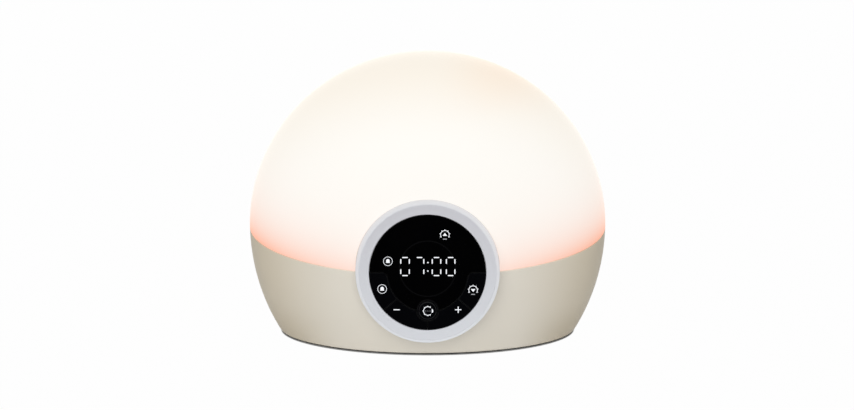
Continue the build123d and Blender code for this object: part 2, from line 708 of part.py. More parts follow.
with BuildPart() as backup_capacitor:
    discs(level(MAIN_TOP_Z), [BACKUP_PLACE], *BACKUP)
    fillet(backup_capacitor.faces().sort_by(Axis.Z)[-1].edges(), 0.8)
finish(backup_capacitor, "backup_capacitor")

with BuildPart() as beeper:
    discs(level(MAIN_TOP_Z), [BEEPER_PLACE], *BEEPER)
    hole_r, hole_depth = BEEPER_HOLE
    discs(level(MAIN_TOP_Z + BEEPER[1]), [BEEPER_PLACE], hole_r, -hole_depth, Mode.SUBTRACT)
finish(beeper, "beeper")

with BuildPart() as clock_crystal:
    blocks(level(MAIN_TOP_Z), [CRYSTAL_PLACE], CRYSTAL[:2], CRYSTAL[2], 1.2)
finish(clock_crystal, "clock_crystal")

# Sockets for the flat leads: three on the main board, one on each of the other boards.
with BuildPart() as board_connectors:
    ribbon_socket = (RIBBON_W + SOCKET_W, SOCKET_W)
    power_socket = (POWER_LEAD[1] + SOCKET_W, SOCKET_W)
    led_socket = (SOCKET_W, LED_LEAD[1] + SOCKET_W)
    blocks(level(MAIN_TOP_Z), [(0, -RIBBON_DROP_Y)], ribbon_socket, CONNECTOR_T)
    blocks(level(MAIN_TOP_Z), [(0, POWER_DROP_Y)], power_socket, CONNECTOR_T)
    blocks(level(MAIN_TOP_Z), [(LED_DROP_X, 0)], led_socket, CONNECTOR_T)
    blocks(level(LED_TOP_Z), [(LED_SOCKET_X, 0)], LED_SOCKET, CONNECTOR_T)
    blocks(BOARD_SEAT.offset(-BOARD_T), [(0, RIBBON_Y)], ribbon_socket, -CONNECTOR_T)
finish(board_connectors, "board_connectors")

# ---------------------------------------------------------------- power inlet
with BuildPart() as dc_inlet:
    flange_r, flange_t = INLET_FLANGE
    face = INLET.offset(flange_t)
    discs(INLET, [(0, 0)], flange_r, flange_t)
    chamfer(dc_inlet.faces().sort_by(Axis.Y)[-1].edges(), 0.3)
    discs(INLET, [(0, 0)], BARREL_R, -BARREL_T)
    discs(face, [(0, 0)], PLUG_BORE[0], -PLUG_BORE[1], Mode.SUBTRACT)
    discs(face.offset(-PLUG_BORE[1]), [(0, 0)], PLUG_PIN[0], PLUG_PIN[1])
    blocks(INLET.offset(-BARREL_T), [(0, 0)], (7.0, 4.0), -TERMINAL_T, 0.5)
finish(dc_inlet, "dc_inlet")

with BuildPart() as dc_inlet_nut:
    with BuildSketch(INLET.offset(-WALL)):
        RegularPolygon(NUT[0], 6, major_radius=False)
        Circle(BARREL_R + 0.05, mode=Mode.SUBTRACT)
    extrude(amount=-NUT[1])
finish(dc_inlet_nut, "dc_inlet_nut")

# ---------------------------------------------------------------- flat leads
def make_lead(name, plane, points, thickness, width, bend):
    """A flat lead: a strip drawn edge-on in a plane, with its width across that plane."""
    with BuildPart() as lead:
        with BuildSketch(plane) as strip:
            with BuildLine():
                FilletPolyline(*points, radius=bend)
            trace(line_width=thickness)
        extrude(strip.sketch, amount=width / 2, both=True)
    finish(lead, name)


# The ribbon runs straight back from the display board's socket, then drops to the main board.
ribbon_start = HEAD.from_local_coords((0, RIBBON_Y, BOARD_LEVEL - BOARD_T - CONNECTOR_T))
ribbon_y = ribbon_start.Y - BODY_Y
ribbon_fall = (-RIBBON_DROP_Y - ribbon_y) * tan(radians(HEAD_TILT))
ribbon_route = [
    (ribbon_y, ribbon_start.Z),
    (-RIBBON_DROP_Y, ribbon_start.Z - ribbon_fall),
    (-RIBBON_DROP_Y, CONNECTOR_TOP_Z),
]
power_route = [
    (INLET_FLOOR - BARREL_T - TERMINAL_T, INLET_Z),
    (POWER_DROP_Y, INLET_Z),
    (POWER_DROP_Y, CONNECTOR_TOP_Z),
]
led_route = [
    (LED_SOCKET_X - LED_SOCKET[0] / 2, LED_TOP_Z + CONNECTOR_T / 2),
    (LED_LEAD_X, LED_TOP_Z + CONNECTOR_T / 2),
    (LED_LEAD_X, CONNECTOR_TOP_Z + LED_LEAD_RISE),
    (LED_DROP_X, CONNECTOR_TOP_Z + LED_LEAD_RISE),
    (LED_DROP_X, CONNECTOR_TOP_Z),
]
make_lead("display_ribbon", SIDE, ribbon_route, *RIBBON)
make_lead("power_lead", SIDE, power_route, *POWER_LEAD)
make_lead("led_lead", ACROSS, led_route, *LED_LEAD)
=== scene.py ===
# %% [markdown]
# # A sunrise alarm clock
# The clock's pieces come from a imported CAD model, in metres, +Z up, with the front facing -Y.
# This lesson gives them their finishes, and remakes the pieces whose curves or edges need more
# than the CAD's plain triangles: the opal dome, the satin housing, the round bezel, the black
# window with its five keys, and the feet and screws under it all. It adds the glowing digits and
# signs.

# %% Load the frame
import json
from math import acos, asin, atan2, cos, degrees, pi, radians, sin, sqrt, tan

import bmesh
import bpy
from mathutils import Matrix, Vector


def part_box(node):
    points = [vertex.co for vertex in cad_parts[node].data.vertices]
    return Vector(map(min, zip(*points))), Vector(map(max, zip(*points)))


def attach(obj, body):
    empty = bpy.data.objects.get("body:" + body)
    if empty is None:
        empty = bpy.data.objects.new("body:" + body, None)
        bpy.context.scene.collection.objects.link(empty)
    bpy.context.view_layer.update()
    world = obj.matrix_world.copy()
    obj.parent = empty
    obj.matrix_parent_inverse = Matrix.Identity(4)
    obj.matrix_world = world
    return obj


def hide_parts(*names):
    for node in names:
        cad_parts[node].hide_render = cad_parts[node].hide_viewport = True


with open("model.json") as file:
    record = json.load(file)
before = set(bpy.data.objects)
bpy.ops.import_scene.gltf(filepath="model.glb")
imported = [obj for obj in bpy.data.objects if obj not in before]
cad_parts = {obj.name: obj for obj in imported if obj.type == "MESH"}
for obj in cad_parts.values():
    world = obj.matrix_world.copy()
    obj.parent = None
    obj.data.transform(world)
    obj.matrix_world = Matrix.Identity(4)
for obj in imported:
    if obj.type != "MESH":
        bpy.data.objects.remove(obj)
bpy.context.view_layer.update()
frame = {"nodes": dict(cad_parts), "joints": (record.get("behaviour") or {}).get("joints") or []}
scene = bpy.context.scene

# %% [markdown]
# ## The frame's sizes
# Every size below is either read from the frame or is one of the clock's few driving dimensions,
# in millimetres, as a drawing gives them. The body is an oval turned about an upright axis at
# BODY_Y and squeezed from front to back. Above WIDEST_Z it rises to the crown, and below it the
# oval is a little taller.

# %% Sizes
MM = 0.001
BODY_Y = 5.5
WIDEST_Z = 63.0
LOW_RISE = 113.5
WALL = 2.4
CORNER_R = 2.0
INNER_CORNER_R = 2.6
COVER_T = 1.5
FLANGE = (84.0, 45.1)
SEAT_SLIP = 0.2

dome_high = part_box("diffuser_dome")[1] / MM
HALF_WIDTH = dome_high.x
HALF_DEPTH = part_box("base_housing")[1].y / MM - BODY_Y
TOP_RISE = dome_high.z - WIDEST_Z
HOUSING_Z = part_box("base_housing")[0].z / MM
COVER_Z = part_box("bottom_cover")[0].z / MM
SEAT_Z = COVER_Z + COVER_T
FLOOR_Z = SEAT_Z + WALL

SEAM_Z = 62.7
SEAM_TILT = radians(13.6)
SEAM_GAP = 0.25
SEAM_NORMAL = Vector((0, -sin(SEAM_TILT), cos(SEAM_TILT)))
SEAM_POINT = Vector((0, BODY_Y, SEAM_Z))

# The control head's face: its centre, and its outward normal, which the keys' joints share.
HEAD_CENTRE = Vector((0, BODY_Y - 60.8, 53.4))
HEAD_OUT = -Vector(frame["joints"][0]["axis"]).normalized()
print(f"half width {HALF_WIDTH:.1f}, half depth {HALF_DEPTH:.1f}, crown {dome_high.z:.1f} mm")

# %% [markdown]
# ## Drawing planes
# A piece is drawn in millimetres over a plane, x to the right, y up the sheet and z out of it, and
# then takes its place in the clock in metres. A plane here is a 4x4 matrix that does both.


# %% Planes
CENTRE = (0, 0)


def plane_at(origin, out, right=(1, 0, 0)):
    """The matrix that takes millimetres over a plane to metres in the clock."""
    right, out = Vector(right), Vector(out)
    up = out.cross(right)
    turn = Matrix((right, up, out)).transposed().to_4x4()
    return Matrix.Scale(MM, 4) @ Matrix.Translation(origin) @ turn


def over(plane, x, y, z=0.0):
    """The same plane with its origin moved within it."""
    return plane @ Matrix.Translation((x, y, z))


def polar(radius, angle):
    """The point at a radius and an angle, in degrees, of a plane."""
    return (radius * cos(radians(angle)), radius * sin(radians(angle)))


def corners(x, y):
    """The four mirror images of a point."""
    return [(x, y), (-x, y), (-x, -y), (x, -y)]


HEAD = plane_at(HEAD_CENTRE, HEAD_OUT)
LEVEL = plane_at((0, BODY_Y, 0), (0, 0, 1))
INLET = plane_at((0, BODY_Y + 44.4, 17.0), (0, 1, 0), right=(-1, 0, 0))
print("head plane leans back", round(degrees(asin(HEAD_OUT.z)), 2), "degrees")

# %% [markdown]
# ## The camera
# A long lens a little over a metre away keeps the oval's outline almost free of perspective. It
# looks down by some fifteen degrees, and sees the bottom cover as a thin dark line under the body.

# %% Camera
CAMERA_TARGET = Vector((0, BODY_Y, 85)) * MM
CAMERA_DISTANCE = 1.2
CAMERA_ELEVATION = radians(15.34)
LENS = 88.0
SENSOR_WIDTH = 36.0
SHIFT = (-0.0007, -0.0197)

camera_data = bpy.data.cameras.new("camera")
camera_data.lens = LENS
camera_data.sensor_width = SENSOR_WIDTH
camera_data.shift_x, camera_data.shift_y = SHIFT
camera = bpy.data.objects.new("camera", camera_data)
scene.collection.objects.link(camera)
towards_camera = Vector((0, -cos(CAMERA_ELEVATION), sin(CAMERA_ELEVATION)))
camera.location = CAMERA_TARGET + towards_camera * CAMERA_DISTANCE
camera.rotation_euler = (-towards_camera).to_track_quat("-Z", "Y").to_euler()
scene.camera = camera

# %% [markdown]
# ## Node trees as expressions
# A finish is easier to read as a formula than as a web of nodes. Value wraps the socket that a
# number comes out of, so that adding or multiplying two of them adds a Math node. Tree makes any
# other node through one method, for materials and for Geometry Nodes alike.


# %% Values and trees
def operator(operation):
    """What an arithmetic sign does to a value: it adds a Math node."""
    return lambda value, *others: value.maths(operation, *others)


class Value:
    """What comes out of a node's socket, on its way through a tree."""

    __add__ = operator("ADD")
    __sub__ = operator("SUBTRACT")
    __mul__ = operator("MULTIPLY")
    __truediv__ = operator("DIVIDE")
    __pow__ = operator("POWER")
    __abs__ = operator("ABSOLUTE")

    def __init__(self, tree, socket):
        self.tree = tree
        self.socket = socket

    def maths(self, operation, *others):
        inputs = dict(enumerate((self, *others)))
        return self.tree.node("ShaderNodeMath", inputs, operation=operation)

    def __rsub__(self, other):
        return self * -1.0 + other

    def fade(self, start, end):
        """0 up to start, 1 from end, and a smooth step between them."""
        inputs = {"Value": self, "From Min": start, "From Max": end}
        return self.tree.node("ShaderNodeMapRange", inputs, interpolation_type="SMOOTHSTEP")


class Tree:
    """A node tree that is written as expressions."""

    def __init__(self, nodes, links):
        self.nodes = nodes
        self.links = links

    def node(self, kind, inputs=None, output=0, **settings):
        """Makes a node: its settings first, then the values or links of its sockets."""
        made = self.nodes.new(kind)
        for name, setting in settings.items():
            setattr(made, name, setting)
        for name, value in (inputs or {}).items():
            socket = made.inputs[name]
            if isinstance(value, Value):
                self.links.new(value.socket, socket)
            else:
                socket.default_value = value
        return Value(self, made.outputs[output] if made.outputs else None)


class Finish(Tree):
    """A material."""

    def __init__(self, name):
        self.material = bpy.data.materials.new(name)
        self.material.use_nodes = True
        tree = self.material.node_tree
        tree.nodes.clear()
        super().__init__(tree.nodes, tree.links)
        self.point = self.node("ShaderNodeTexCoord", output="Object")

    def coordinates(self):
        """The three coordinates of a point of the piece, in millimetres."""
        scaled = self.node("ShaderNodeVectorMath", {0: self.point, 1: (1000, 1000, 1000)},
                           operation="MULTIPLY")
        apart = self.node("ShaderNodeSeparateXYZ", {0: scaled})
        return [Value(self, socket) for socket in apart.socket.node.outputs]

    def noise(self, size, stretch=(1, 1, 1), detail=2.0):
        """A smooth random number about 0.5, with features of a size in millimetres."""
        scale = [1000 / size / part for part in stretch]
        point = self.node("ShaderNodeVectorMath", {0: self.point, 1: scale}, operation="MULTIPLY")
        return self.node("ShaderNodeTexNoise", {"Vector": point, "Scale": 1.0, "Detail": detail})

    def mix(self, factor, first, second):
        """A colour between two colours."""
        colours = [c if isinstance(c, Value) else (*c, 1) for c in (first, second)]
        inputs = {0: factor, 6: colours[0], 7: colours[1]}
        return self.node("ShaderNodeMix", inputs, output=2, data_type="RGBA")

    def bump(self, height, depth):
        """A normal roughened by a height from 0 to 1 of a depth in millimetres."""
        inputs = {"Height": height, "Distance": depth * MM, "Strength": 1.0}
        return self.node("ShaderNodeBump", inputs)

    def surface(self, **inputs):
        """The finished surface; an input's name has underscores in place of spaces."""
        named = {}
        for name, value in inputs.items():
            is_colour = isinstance(value, tuple) and len(value) == 3
            named[name.replace("_", " ")] = (*value, 1) if is_colour else value
        shader = self.node("ShaderNodeBsdfPrincipled", named)
        self.node("ShaderNodeOutputMaterial", {"Surface": shader})
        return self.material


def seen(red, green, blue):
    """A colour given as a screen shows it, 0 to 255, as the light it stands for."""
    levels = [level / 255 for level in (red, green, blue)]
    return tuple(l / 12.92 if l <= 0.04045 else ((l + 0.055) / 1.055) ** 2.4 for l in levels)


# %% [markdown]
# ## Tools for mesh work
# The clock's curved pieces are lathe work, its window and keys are flat plates with softened rims,
# and the rest is drilling and joining. So the main helpers wrap a row of sections into a skin, spin
# a profile, raise a plate from an outline, and combine solids with Boolean modifiers.


# %% Mesh tools
BEYOND = 1          # how far a pin goes past the face that it joins or cuts
OVERLAP = 0.5       # how far a thin piece goes into the one that it joins


def link_mesh(name, points, faces, material=None):
    """A new object of a mesh."""
    mesh = bpy.data.meshes.new(name)
    mesh.from_pydata(points, [], faces)
    if material:
        mesh.materials.append(material)
    piece = bpy.data.objects.new(name, mesh)
    scene.collection.objects.link(piece)
    return piece


def weld(piece, gap=1e-7):
    """Merges a closed piece's doubled points and turns its faces outward."""
    work = bmesh.new()
    work.from_mesh(piece.data)
    bmesh.ops.remove_doubles(work, verts=work.verts, dist=gap)
    bmesh.ops.recalc_face_normals(work, faces=work.faces)
    work.to_mesh(piece.data)
    work.free()
    return piece


def smooth(piece, sharp=30):
    """Shades a piece smooth but for edges sharper than an angle in degrees."""
    piece.data.shade_smooth()
    piece.data.set_sharp_from_angle(angle=radians(sharp))
    return piece


def wrap(name, sections, material=None, ring=False):
    """A closed skin over sections that stand round an axis; ring closes each section too."""
    rows = len(sections[0])
    points = [point for section in sections for point in section]
    faces = []
    for column in range(len(sections)):
        here = column * rows
        there = (column + 1) % len(sections) * rows
        for row in range(rows if ring else rows - 1):
            after = (row + 1) % rows
            faces.append((here + row, there + row, there + after, here + after))
    return weld(link_mesh(name, points, faces, material))


def spin(name, profile, plane, material=None, ring=False, columns=64):
    """A profile of (radius, height) points in millimetres, spun about a plane's own axis."""
    sections = []
    for column in range(columns):
        angle = 2 * pi * column / columns
        places = [(r * cos(angle), r * sin(angle), z) for r, z in profile]
        sections.append([plane @ Vector(place) for place in places])
    return wrap(name, sections, material, ring)


def pin(plane, place, radius, low, high, columns=48):
    """A plain round pin between two heights over a plane, to join or to drill with."""
    profile = [(0, low), (radius, low), (radius, high), (0, high)]
    return spin("pin", profile, over(plane, *place), columns=columns)


def outward(outline, index):
    """The mitred outward direction at a corner of an outline that runs anticlockwise."""
    before, here, after = (Vector(outline[(index + step) % len(outline)]) for step in (-1, 0, 1))
    sides = [(here - before).normalized(), (after - here).normalized()]
    normals = [Vector((side.y, -side.x)) for side in sides]
    return (normals[0] + normals[1]) / (1 + normals[0].dot(normals[1]))


def plate(name, outline, plane, low, high, rim=0.0, material=None):
    """A plate between two heights over a plane, with its upper rim rounded by a radius."""
    directions = [outward(outline, index) for index in range(len(outline))]
    turns = [radians(angle) for angle in ((0, 22.5, 45, 67.5, 90) if rim else (90,))]
    rings = [(rim * (1 - sin(turn)), high - rim * (1 - cos(turn))) for turn in turns]
    points = []
    for inset, height in rings + [(0.0, low)]:
        for (x, y), away in zip(outline, directions):
            points.append(plane @ Vector((x - away.x * inset, y - away.y * inset, height)))
    count = len(outline)
    faces = [tuple(range(count)), tuple(reversed(range(len(points) - count, len(points))))]
    for start in range(0, len(points) - count, count):
        for index in range(count):
            after = (index + 1) % count
            faces.append((start + index, start + count + index,
                          start + count + after, start + after))
    return link_mesh(name, points, faces, material)


def combine(piece, operation, *tools):
    """Joins, cuts or crosses a solid with others, which are used up."""
    for tool in tools:
        modifier = piece.modifiers.new("combine", "BOOLEAN")
        modifier.operation = operation
        modifier.solver = "MANIFOLD"
        modifier.object = tool
    bake(piece)
    for tool in tools:
        bpy.data.objects.remove(tool)
    return piece


def bake(piece):
    """Turns what a piece's modifiers make into its own plain mesh."""
    depsgraph = bpy.context.evaluated_depsgraph_get()
    made = bpy.data.meshes.new_from_object(piece.evaluated_get(depsgraph))
    piece.modifiers.clear()
    piece.data = made
    return piece


# %% [markdown]
# ## Outlines
# Flat shapes are drawn as lists of points: arcs by their centre, radius and angles, and sharp
# turns rounded by a tangent arc. Angles are in degrees, anticlockwise from the right.


# %% Drawing helpers
ARC_STEP = 3.0


def shifted(outline, x, y):
    """An outline moved in its plane."""
    return [(px + x, py + y) for px, py in outline]


def arc(centre, radius, start, end, step=ARC_STEP):
    """Points along an arc from one angle to another, in either direction."""
    count = max(2, round(abs(end - start) / step))
    angles = [start + (end - start) * i / count for i in range(count + 1)]
    return shifted([polar(radius, angle) for angle in angles], *centre)


def rounded(points, radii, closed=True, step=10.0):
    """A polyline whose turns are rounded, each by its own radius."""
    path = []
    count = len(points)
    for index, (point, radius) in enumerate(zip(points, radii)):
        if radius == 0 or (not closed and index in (0, count - 1)):
            path.append(tuple(point))
            continue
        here = Vector(point)
        back = (Vector(points[index - 1]) - here).normalized()
        ahead = (Vector(points[(index + 1) % count]) - here).normalized()
        half = acos(max(-1.0, min(1.0, back.dot(ahead)))) / 2
        centre = here + (back + ahead).normalized() * (radius / sin(half))
        first = here + back * (radius / tan(half)) - centre
        last = here + ahead * (radius / tan(half)) - centre
        start = degrees(atan2(first.y, first.x))
        sweep = (degrees(atan2(last.y, last.x)) - start + 180) % 360 - 180
        path += arc(centre, radius, start, start + sweep, step)
    return path


def rectangle(width, height, radius):
    """A rounded rectangle about the origin."""
    points = corners(width / 2, height / 2)
    return rounded(points[2:] + points[:2], [radius] * 4)


def ellipse(half_width, half_height, count=192):
    """An ellipse about the origin."""
    angles = [2 * pi * i / count for i in range(count)]
    return [(half_width * cos(a), half_height * sin(a)) for a in angles]


# %% [markdown]
# ## The glowing diffuser
# Opal acrylic scatters the lamps behind it until no lamp shows. The glow is nearly white where the
# lamp board faces it, creamy towards the crown and the sides, and turns peach in the last
# centimetres above the seam, where the tray's rim shades it. A little of the amber light also
# tints one shoulder of the crown. The fades follow the piece itself: the height above the slanted
# seam, and how far out and how high a point lies on the oval.

# %% Opal diffuser
PEACH_REACH = 13.0
CREAM = {"across": 0.58, "up": 1.15}
OPAL_GLOW = 0.80


def opal_diffuser():
    finish = Finish("opal_diffuser")
    x, y, z = finish.coordinates()
    height = (y - BODY_Y) * SEAM_NORMAL.y + (z - SEAM_Z) * SEAM_NORMAL.z
    across = abs(x) / HALF_WIDTH
    rise = (z - WIDEST_Z) / TOP_RISE
    cream = (across * across * CREAM["across"] + rise * rise * CREAM["up"]).fade(0.35, 1.05)
    near_seam = (height / -PEACH_REACH).maths("EXPONENT") * (across ** 1.5 * 0.84 + 0.27)
    clouds = finish.noise(60) * 0.08 - 0.04
    glow = finish.mix(cream + clouds, seen(251, 249, 244), seen(249, 241, 228))
    glow = finish.mix(near_seam, glow, seen(255, 168, 130))
    shoulder = (x / HALF_WIDTH).fade(0.0, 0.45) * rise.fade(0.65, 0.95)
    glow = finish.mix(shoulder * 0.4, glow, seen(253, 222, 192))
    return finish.surface(
        Base_Color=(0.23, 0.22, 0.205),
        Roughness=finish.noise(4) * 0.08 + 0.38,
        Emission_Color=glow,
        Emission_Strength=OPAL_GLOW,
        Specular_IOR_Level=0.3,
        Normal=finish.bump(finish.noise(0.4), 0.003),
    )


OPAL = opal_diffuser()

# %% [markdown]
# ## The oval's law
# Both shells of the body follow one law, so that their walls run parallel and meet along the seam.
# A point is found by how far it has turned round the upright axis and how far it has climbed. The
# seam is where that climb crosses a slanted plane, which halving an interval again and again finds.

# %% The oval
COLUMNS = 256
HALVINGS = 32
TURNS = [2 * pi * column / COLUMNS for column in range(COLUMNS)]


def turned(angle, radius, z, inset):
    """A profile's point (radius, z), turned to an angle round the body and squeezed with it."""
    squeeze = (HALF_DEPTH - inset) / (HALF_WIDTH - inset)
    return Vector((radius * cos(angle), BODY_Y + squeeze * radius * sin(angle), z))


def profile(climb, inset):
    """The radius and height at a climb, from -90 degrees at the foot to 90 at the crown."""
    rise = (TOP_RISE if climb > 0 else LOW_RISE) - inset
    climb = radians(climb)
    return (HALF_WIDTH - inset) * cos(climb), WIDEST_Z + rise * sin(climb)


def halve(low, high, too_high):
    """Closes in on where a test changes from false to true."""
    for _ in range(HALVINGS):
        middle = (low + high) / 2
        low, high = (low, middle) if too_high(middle) else (middle, high)
    return low


def seam_climb(angle, inset, above):
    """The climb at which the body, moved inward by inset, passes a height over the seam."""
    def past(climb):
        point = turned(angle, *profile(climb, inset), inset)
        return (point - SEAM_POINT).dot(SEAM_NORMAL) > above

    return halve(-50, 50, past)


def seam_point(angle, inset, above):
    """The body's point at that climb."""
    return turned(angle, *profile(seam_climb(angle, inset, above), inset), inset)


def climbs(angle, inset, start, end, rows):
    """Points up or down a column between two climbs, both ends included."""
    steps = [start + (end - start) * row / rows for row in range(rows + 1)]
    return [turned(angle, *profile(climb, inset), inset) for climb in steps]


def to_metres(section):
    """A section's points in metres."""
    return [point * MM for point in section]


print("seam at the front", round(seam_point(-pi / 2, 0, 0).z, 1), "and back",
      round(seam_point(pi / 2, 0, 0).z, 1), "mm up")

# %% [markdown]
# ## The dome
# A dome like this is moulded as one shell. Each column here is one section of that shell: down the
# inside from the middle of the ceiling, round the tongue that plugs into the housing, over the
# softened rim, and up the outside to the crown. A Boolean then bores the round hole for the head.

# %% Dome
RIM_R = 0.3
TONGUE = 3.2
TONGUE_SLIP = 0.1
TONGUE_INSET = WALL / 2 + TONGUE_SLIP
SHELL_ROWS = 72
HOLE_R = 40.15
HOLE_DEPTH, HOLE_FRONT = 27.6, 5


def soft_rim(angle, edge, height):
    """The rounded rim at a height over the seam, from the rim's flat to the flank."""
    turns = [radians(turn) for turn in (0, 15, 45, 75)]
    return [seam_point(angle, RIM_R * (1 - sin(turn)), edge + height * (1 - cos(turn)))
            for turn in turns]


def dome_section(angle):
    """One column of the dome, from the middle of its ceiling to the top of its crown."""
    inner = climbs(angle, WALL, 90, seam_climb(angle, WALL, -TONGUE), SHELL_ROWS)
    tongue = [seam_point(angle, TONGUE_INSET, above) for above in (-TONGUE, SEAM_GAP)]
    rim = soft_rim(angle, SEAM_GAP, RIM_R)
    outer = climbs(angle, 0, seam_climb(angle, 0, SEAM_GAP + RIM_R), 90, SHELL_ROWS)
    return to_metres(inner + tongue + rim + outer)


def head_bore():
    """The cutter for the round hole that the head looks out of."""
    return pin(HEAD, CENTRE, HOLE_R, -HOLE_DEPTH, HOLE_FRONT, columns=192)


dome = wrap("glowing_dome", [dome_section(angle) for angle in TURNS], OPAL)
combine(dome, "DIFFERENCE", head_bore())
smooth(dome)
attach(dome, "clock_body")
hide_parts("diffuser_dome")
print("dome faces", len(dome.data.polygons))

# %% [markdown]
# ## The housing's finish
# The lower shell is sprayed with a fine champagne satin lacquer. It is mostly a plain pale colour,
# with a little metal in it and a fine orange-peel grain that only shows close up. Shade is painted
# into its tone: darker and yellower round the flanks, and darkest low down where they turn in.

# %% Champagne satin
TUCK_SHADE_TOP = 28.0


def champagne_satin():
    finish = Finish("champagne_satin")
    flakes = finish.noise(0.35, detail=3.0)
    drift = finish.noise(45)
    tone = finish.mix(drift, seen(230, 224, 210), seen(234, 228, 216))
    tone = finish.mix(flakes * 0.25, tone, seen(236, 230, 218))
    x, _, z = finish.coordinates()
    # painted shade: the tone darkens and yellows towards the sides of the body
    flank = (abs(x) / HALF_WIDTH).fade(0.45, 1.0)
    tone = finish.mix(flank, tone, seen(217, 206, 184))
    # painted shade: darker still low on the flanks, near the foot
    tuck_shade = (1.0 - z.fade(0.0, TUCK_SHADE_TOP)) * flank
    tone = finish.mix(tuck_shade, tone, seen(203, 190, 164))
    return finish.surface(
        Base_Color=tone,
        Roughness=finish.noise(2.5) * 0.10 + 0.42,
        Metallic=0.10,
        Specular_IOR_Level=0.3,
        Normal=finish.bump(finish.noise(0.6), 0.006),
    )


CHAMPAGNE = champagne_satin()

# %% [markdown]
# ## The housing
# The housing's columns run the other way: out across the underside, round the bottom corner, up the
# flank, over the rim into the rebate that takes the dome's tongue, and down the inside to the
# floor. The corner's arc has to touch both the flank and the floor, so its centre is found by
# halving too. The posts, bosses and openings of the CAD model are then joined and cut.

# %% Corner arc
CORNER_STEPS = 10


def corner(angle, inset, floor_z):
    """The climb where the flank meets the bottom corner's arc, and that arc down to the floor."""
    radius = INNER_CORNER_R if inset else CORNER_R
    half_width, low_rise = HALF_WIDTH - inset, LOW_RISE - inset

    def centre(climb):
        normal = Vector((cos(radians(climb)) / half_width, sin(radians(climb)) / low_rise))
        return Vector(profile(climb, inset)) - normal.normalized() * radius

    climb = halve(-80, 0, lambda c: centre(c).y > floor_z + radius)
    middle = centre(climb)
    start = degrees(atan2(*reversed(Vector(profile(climb, inset)) - middle)))
    points = arc(middle, radius, start, -90, abs(start + 90) / CORNER_STEPS)
    return climb, [turned(angle, r, z, inset) for r, z in points]


# %% Housing
HOUSING_ROWS = 44
REBATE_DEPTH = TONGUE + 2 * TONGUE_SLIP
POSTS = corners(66, 21)
POST_R = 3.8
TRAY_Z = 44.0
PILOT_R = 1.25
DRUM_BACK = -26.0
LUG_T = 3.0
LUG_R = 3.8
LUG_RING = 44.5
LUG_REACH = 2.5
LUG_ANGLES = (200, 240, 300, 340)
LUGS = [polar(LUG_RING, angle) for angle in LUG_ANGLES]
LUG_PILOT = 4.5
POST_PILOT = 9
RECESS_R = 7.0
BARREL_HOLE_R = 4.65
FLOOR_OPENING = (112, 56, 10)
CLEAR = 0.1     # what a cutter goes beyond the face that it cuts


def housing_section(angle):
    """One column of the housing, from the middle of its floor's underside to the floor's top."""
    floor_climb, floor_arc = corner(angle, 0, HOUSING_Z)
    rim = soft_rim(angle, 0, -RIM_R)[::-1]
    outer = climbs(angle, 0, floor_climb, seam_climb(angle, 0, -RIM_R), HOUSING_ROWS)
    rebate = [seam_point(angle, WALL / 2, above) for above in (0, -REBATE_DEPTH)]
    inner_climb, inner_arc = corner(angle, WALL, FLOOR_Z)
    inner = climbs(angle, WALL, seam_climb(angle, WALL, -REBATE_DEPTH), inner_climb, HOUSING_ROWS)
    underside = [turned(angle, 0, HOUSING_Z, 0)] + list(reversed(floor_arc))
    inside = inner_arc[1:] + [turned(angle, 0, FLOOR_Z, 0)]
    return to_metres(underside + outer[1:] + rim + rebate + inner + inside)


def mid_wall():
    """The solid out to the middle of the wall, which ends each boss inside the wall."""
    sections = []
    inset = WALL / 2
    for angle in TURNS[::2]:
        climb, floor_arc = corner(angle, inset, FLOOR_Z)
        flank = climbs(angle, inset, climb, 90, HOUSING_ROWS)[1:]
        foot = turned(angle, 0, FLOOR_Z, inset)
        sections.append(to_metres([foot] + list(reversed(floor_arc)) + flank))
    return wrap("mid_wall", sections)


def pins(plane, places, radius, low, high):
    """Several pins."""
    return [pin(plane, place, radius, low, high) for place in places]


def bosses(plane, places, radius, low, high):
    """Round bosses that stop inside the wall, as one solid."""
    first, *others = pins(plane, places, radius, low, high)
    if others:
        combine(first, "UNION", *others)
    return combine(first, "INTERSECT", mid_wall())


housing = wrap("satin_housing", [housing_section(angle) for angle in TURNS], CHAMPAGNE)
combine(housing, "UNION", *pins(LEVEL, POSTS, POST_R, FLOOR_Z - BEYOND, TRAY_Z),
        bosses(HEAD, LUGS, LUG_R, DRUM_BACK + LUG_T, 0),
        bosses(INLET, [CENTRE], RECESS_R + WALL, -WALL, 4 * WALL))
combine(housing, "DIFFERENCE", head_bore(),
        *pins(HEAD, LUGS, PILOT_R, DRUM_BACK + LUG_T - BEYOND, DRUM_BACK + LUG_T + LUG_PILOT),
        *pins(LEVEL, POSTS, PILOT_R, TRAY_Z - POST_PILOT, TRAY_Z + BEYOND),
        *pins(LEVEL, POSTS, PILOT_R, SEAT_Z - CLEAR, SEAT_Z + POST_PILOT),
        plate("seat", ellipse(FLANGE[0] + SEAT_SLIP, FLANGE[1] + SEAT_SLIP), LEVEL, 0, SEAT_Z),
        plate("opening", rectangle(*FLOOR_OPENING), LEVEL, SEAT_Z - CLEAR, FLOOR_Z + CLEAR),
        *pins(INLET, [CENTRE], RECESS_R, 0, 4 * WALL),
        *pins(INLET, [CENTRE], BARREL_HOLE_R, -2 * WALL, BEYOND))
smooth(housing)
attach(housing, "clock_body")
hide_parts("base_housing")
print("housing faces", len(housing.data.polygons))

# %% [markdown]
# ## Growing with Geometry Nodes
# Digit bars, sun rays, feet and screws are each one shape at many places. Geometry Nodes suit that:
# an object of bare points says where, and a tree puts the shape on each point, turned by the mark
# that the point carries. They also suit a piece whose shape follows a rule, such as the bezel,
# which is one outline carried round a circle. A tree runs once, its instances are made real, and
# the result is kept as a plain mesh. Its sizes are named inputs, set on the modifier as it runs.

# %% Growing from points


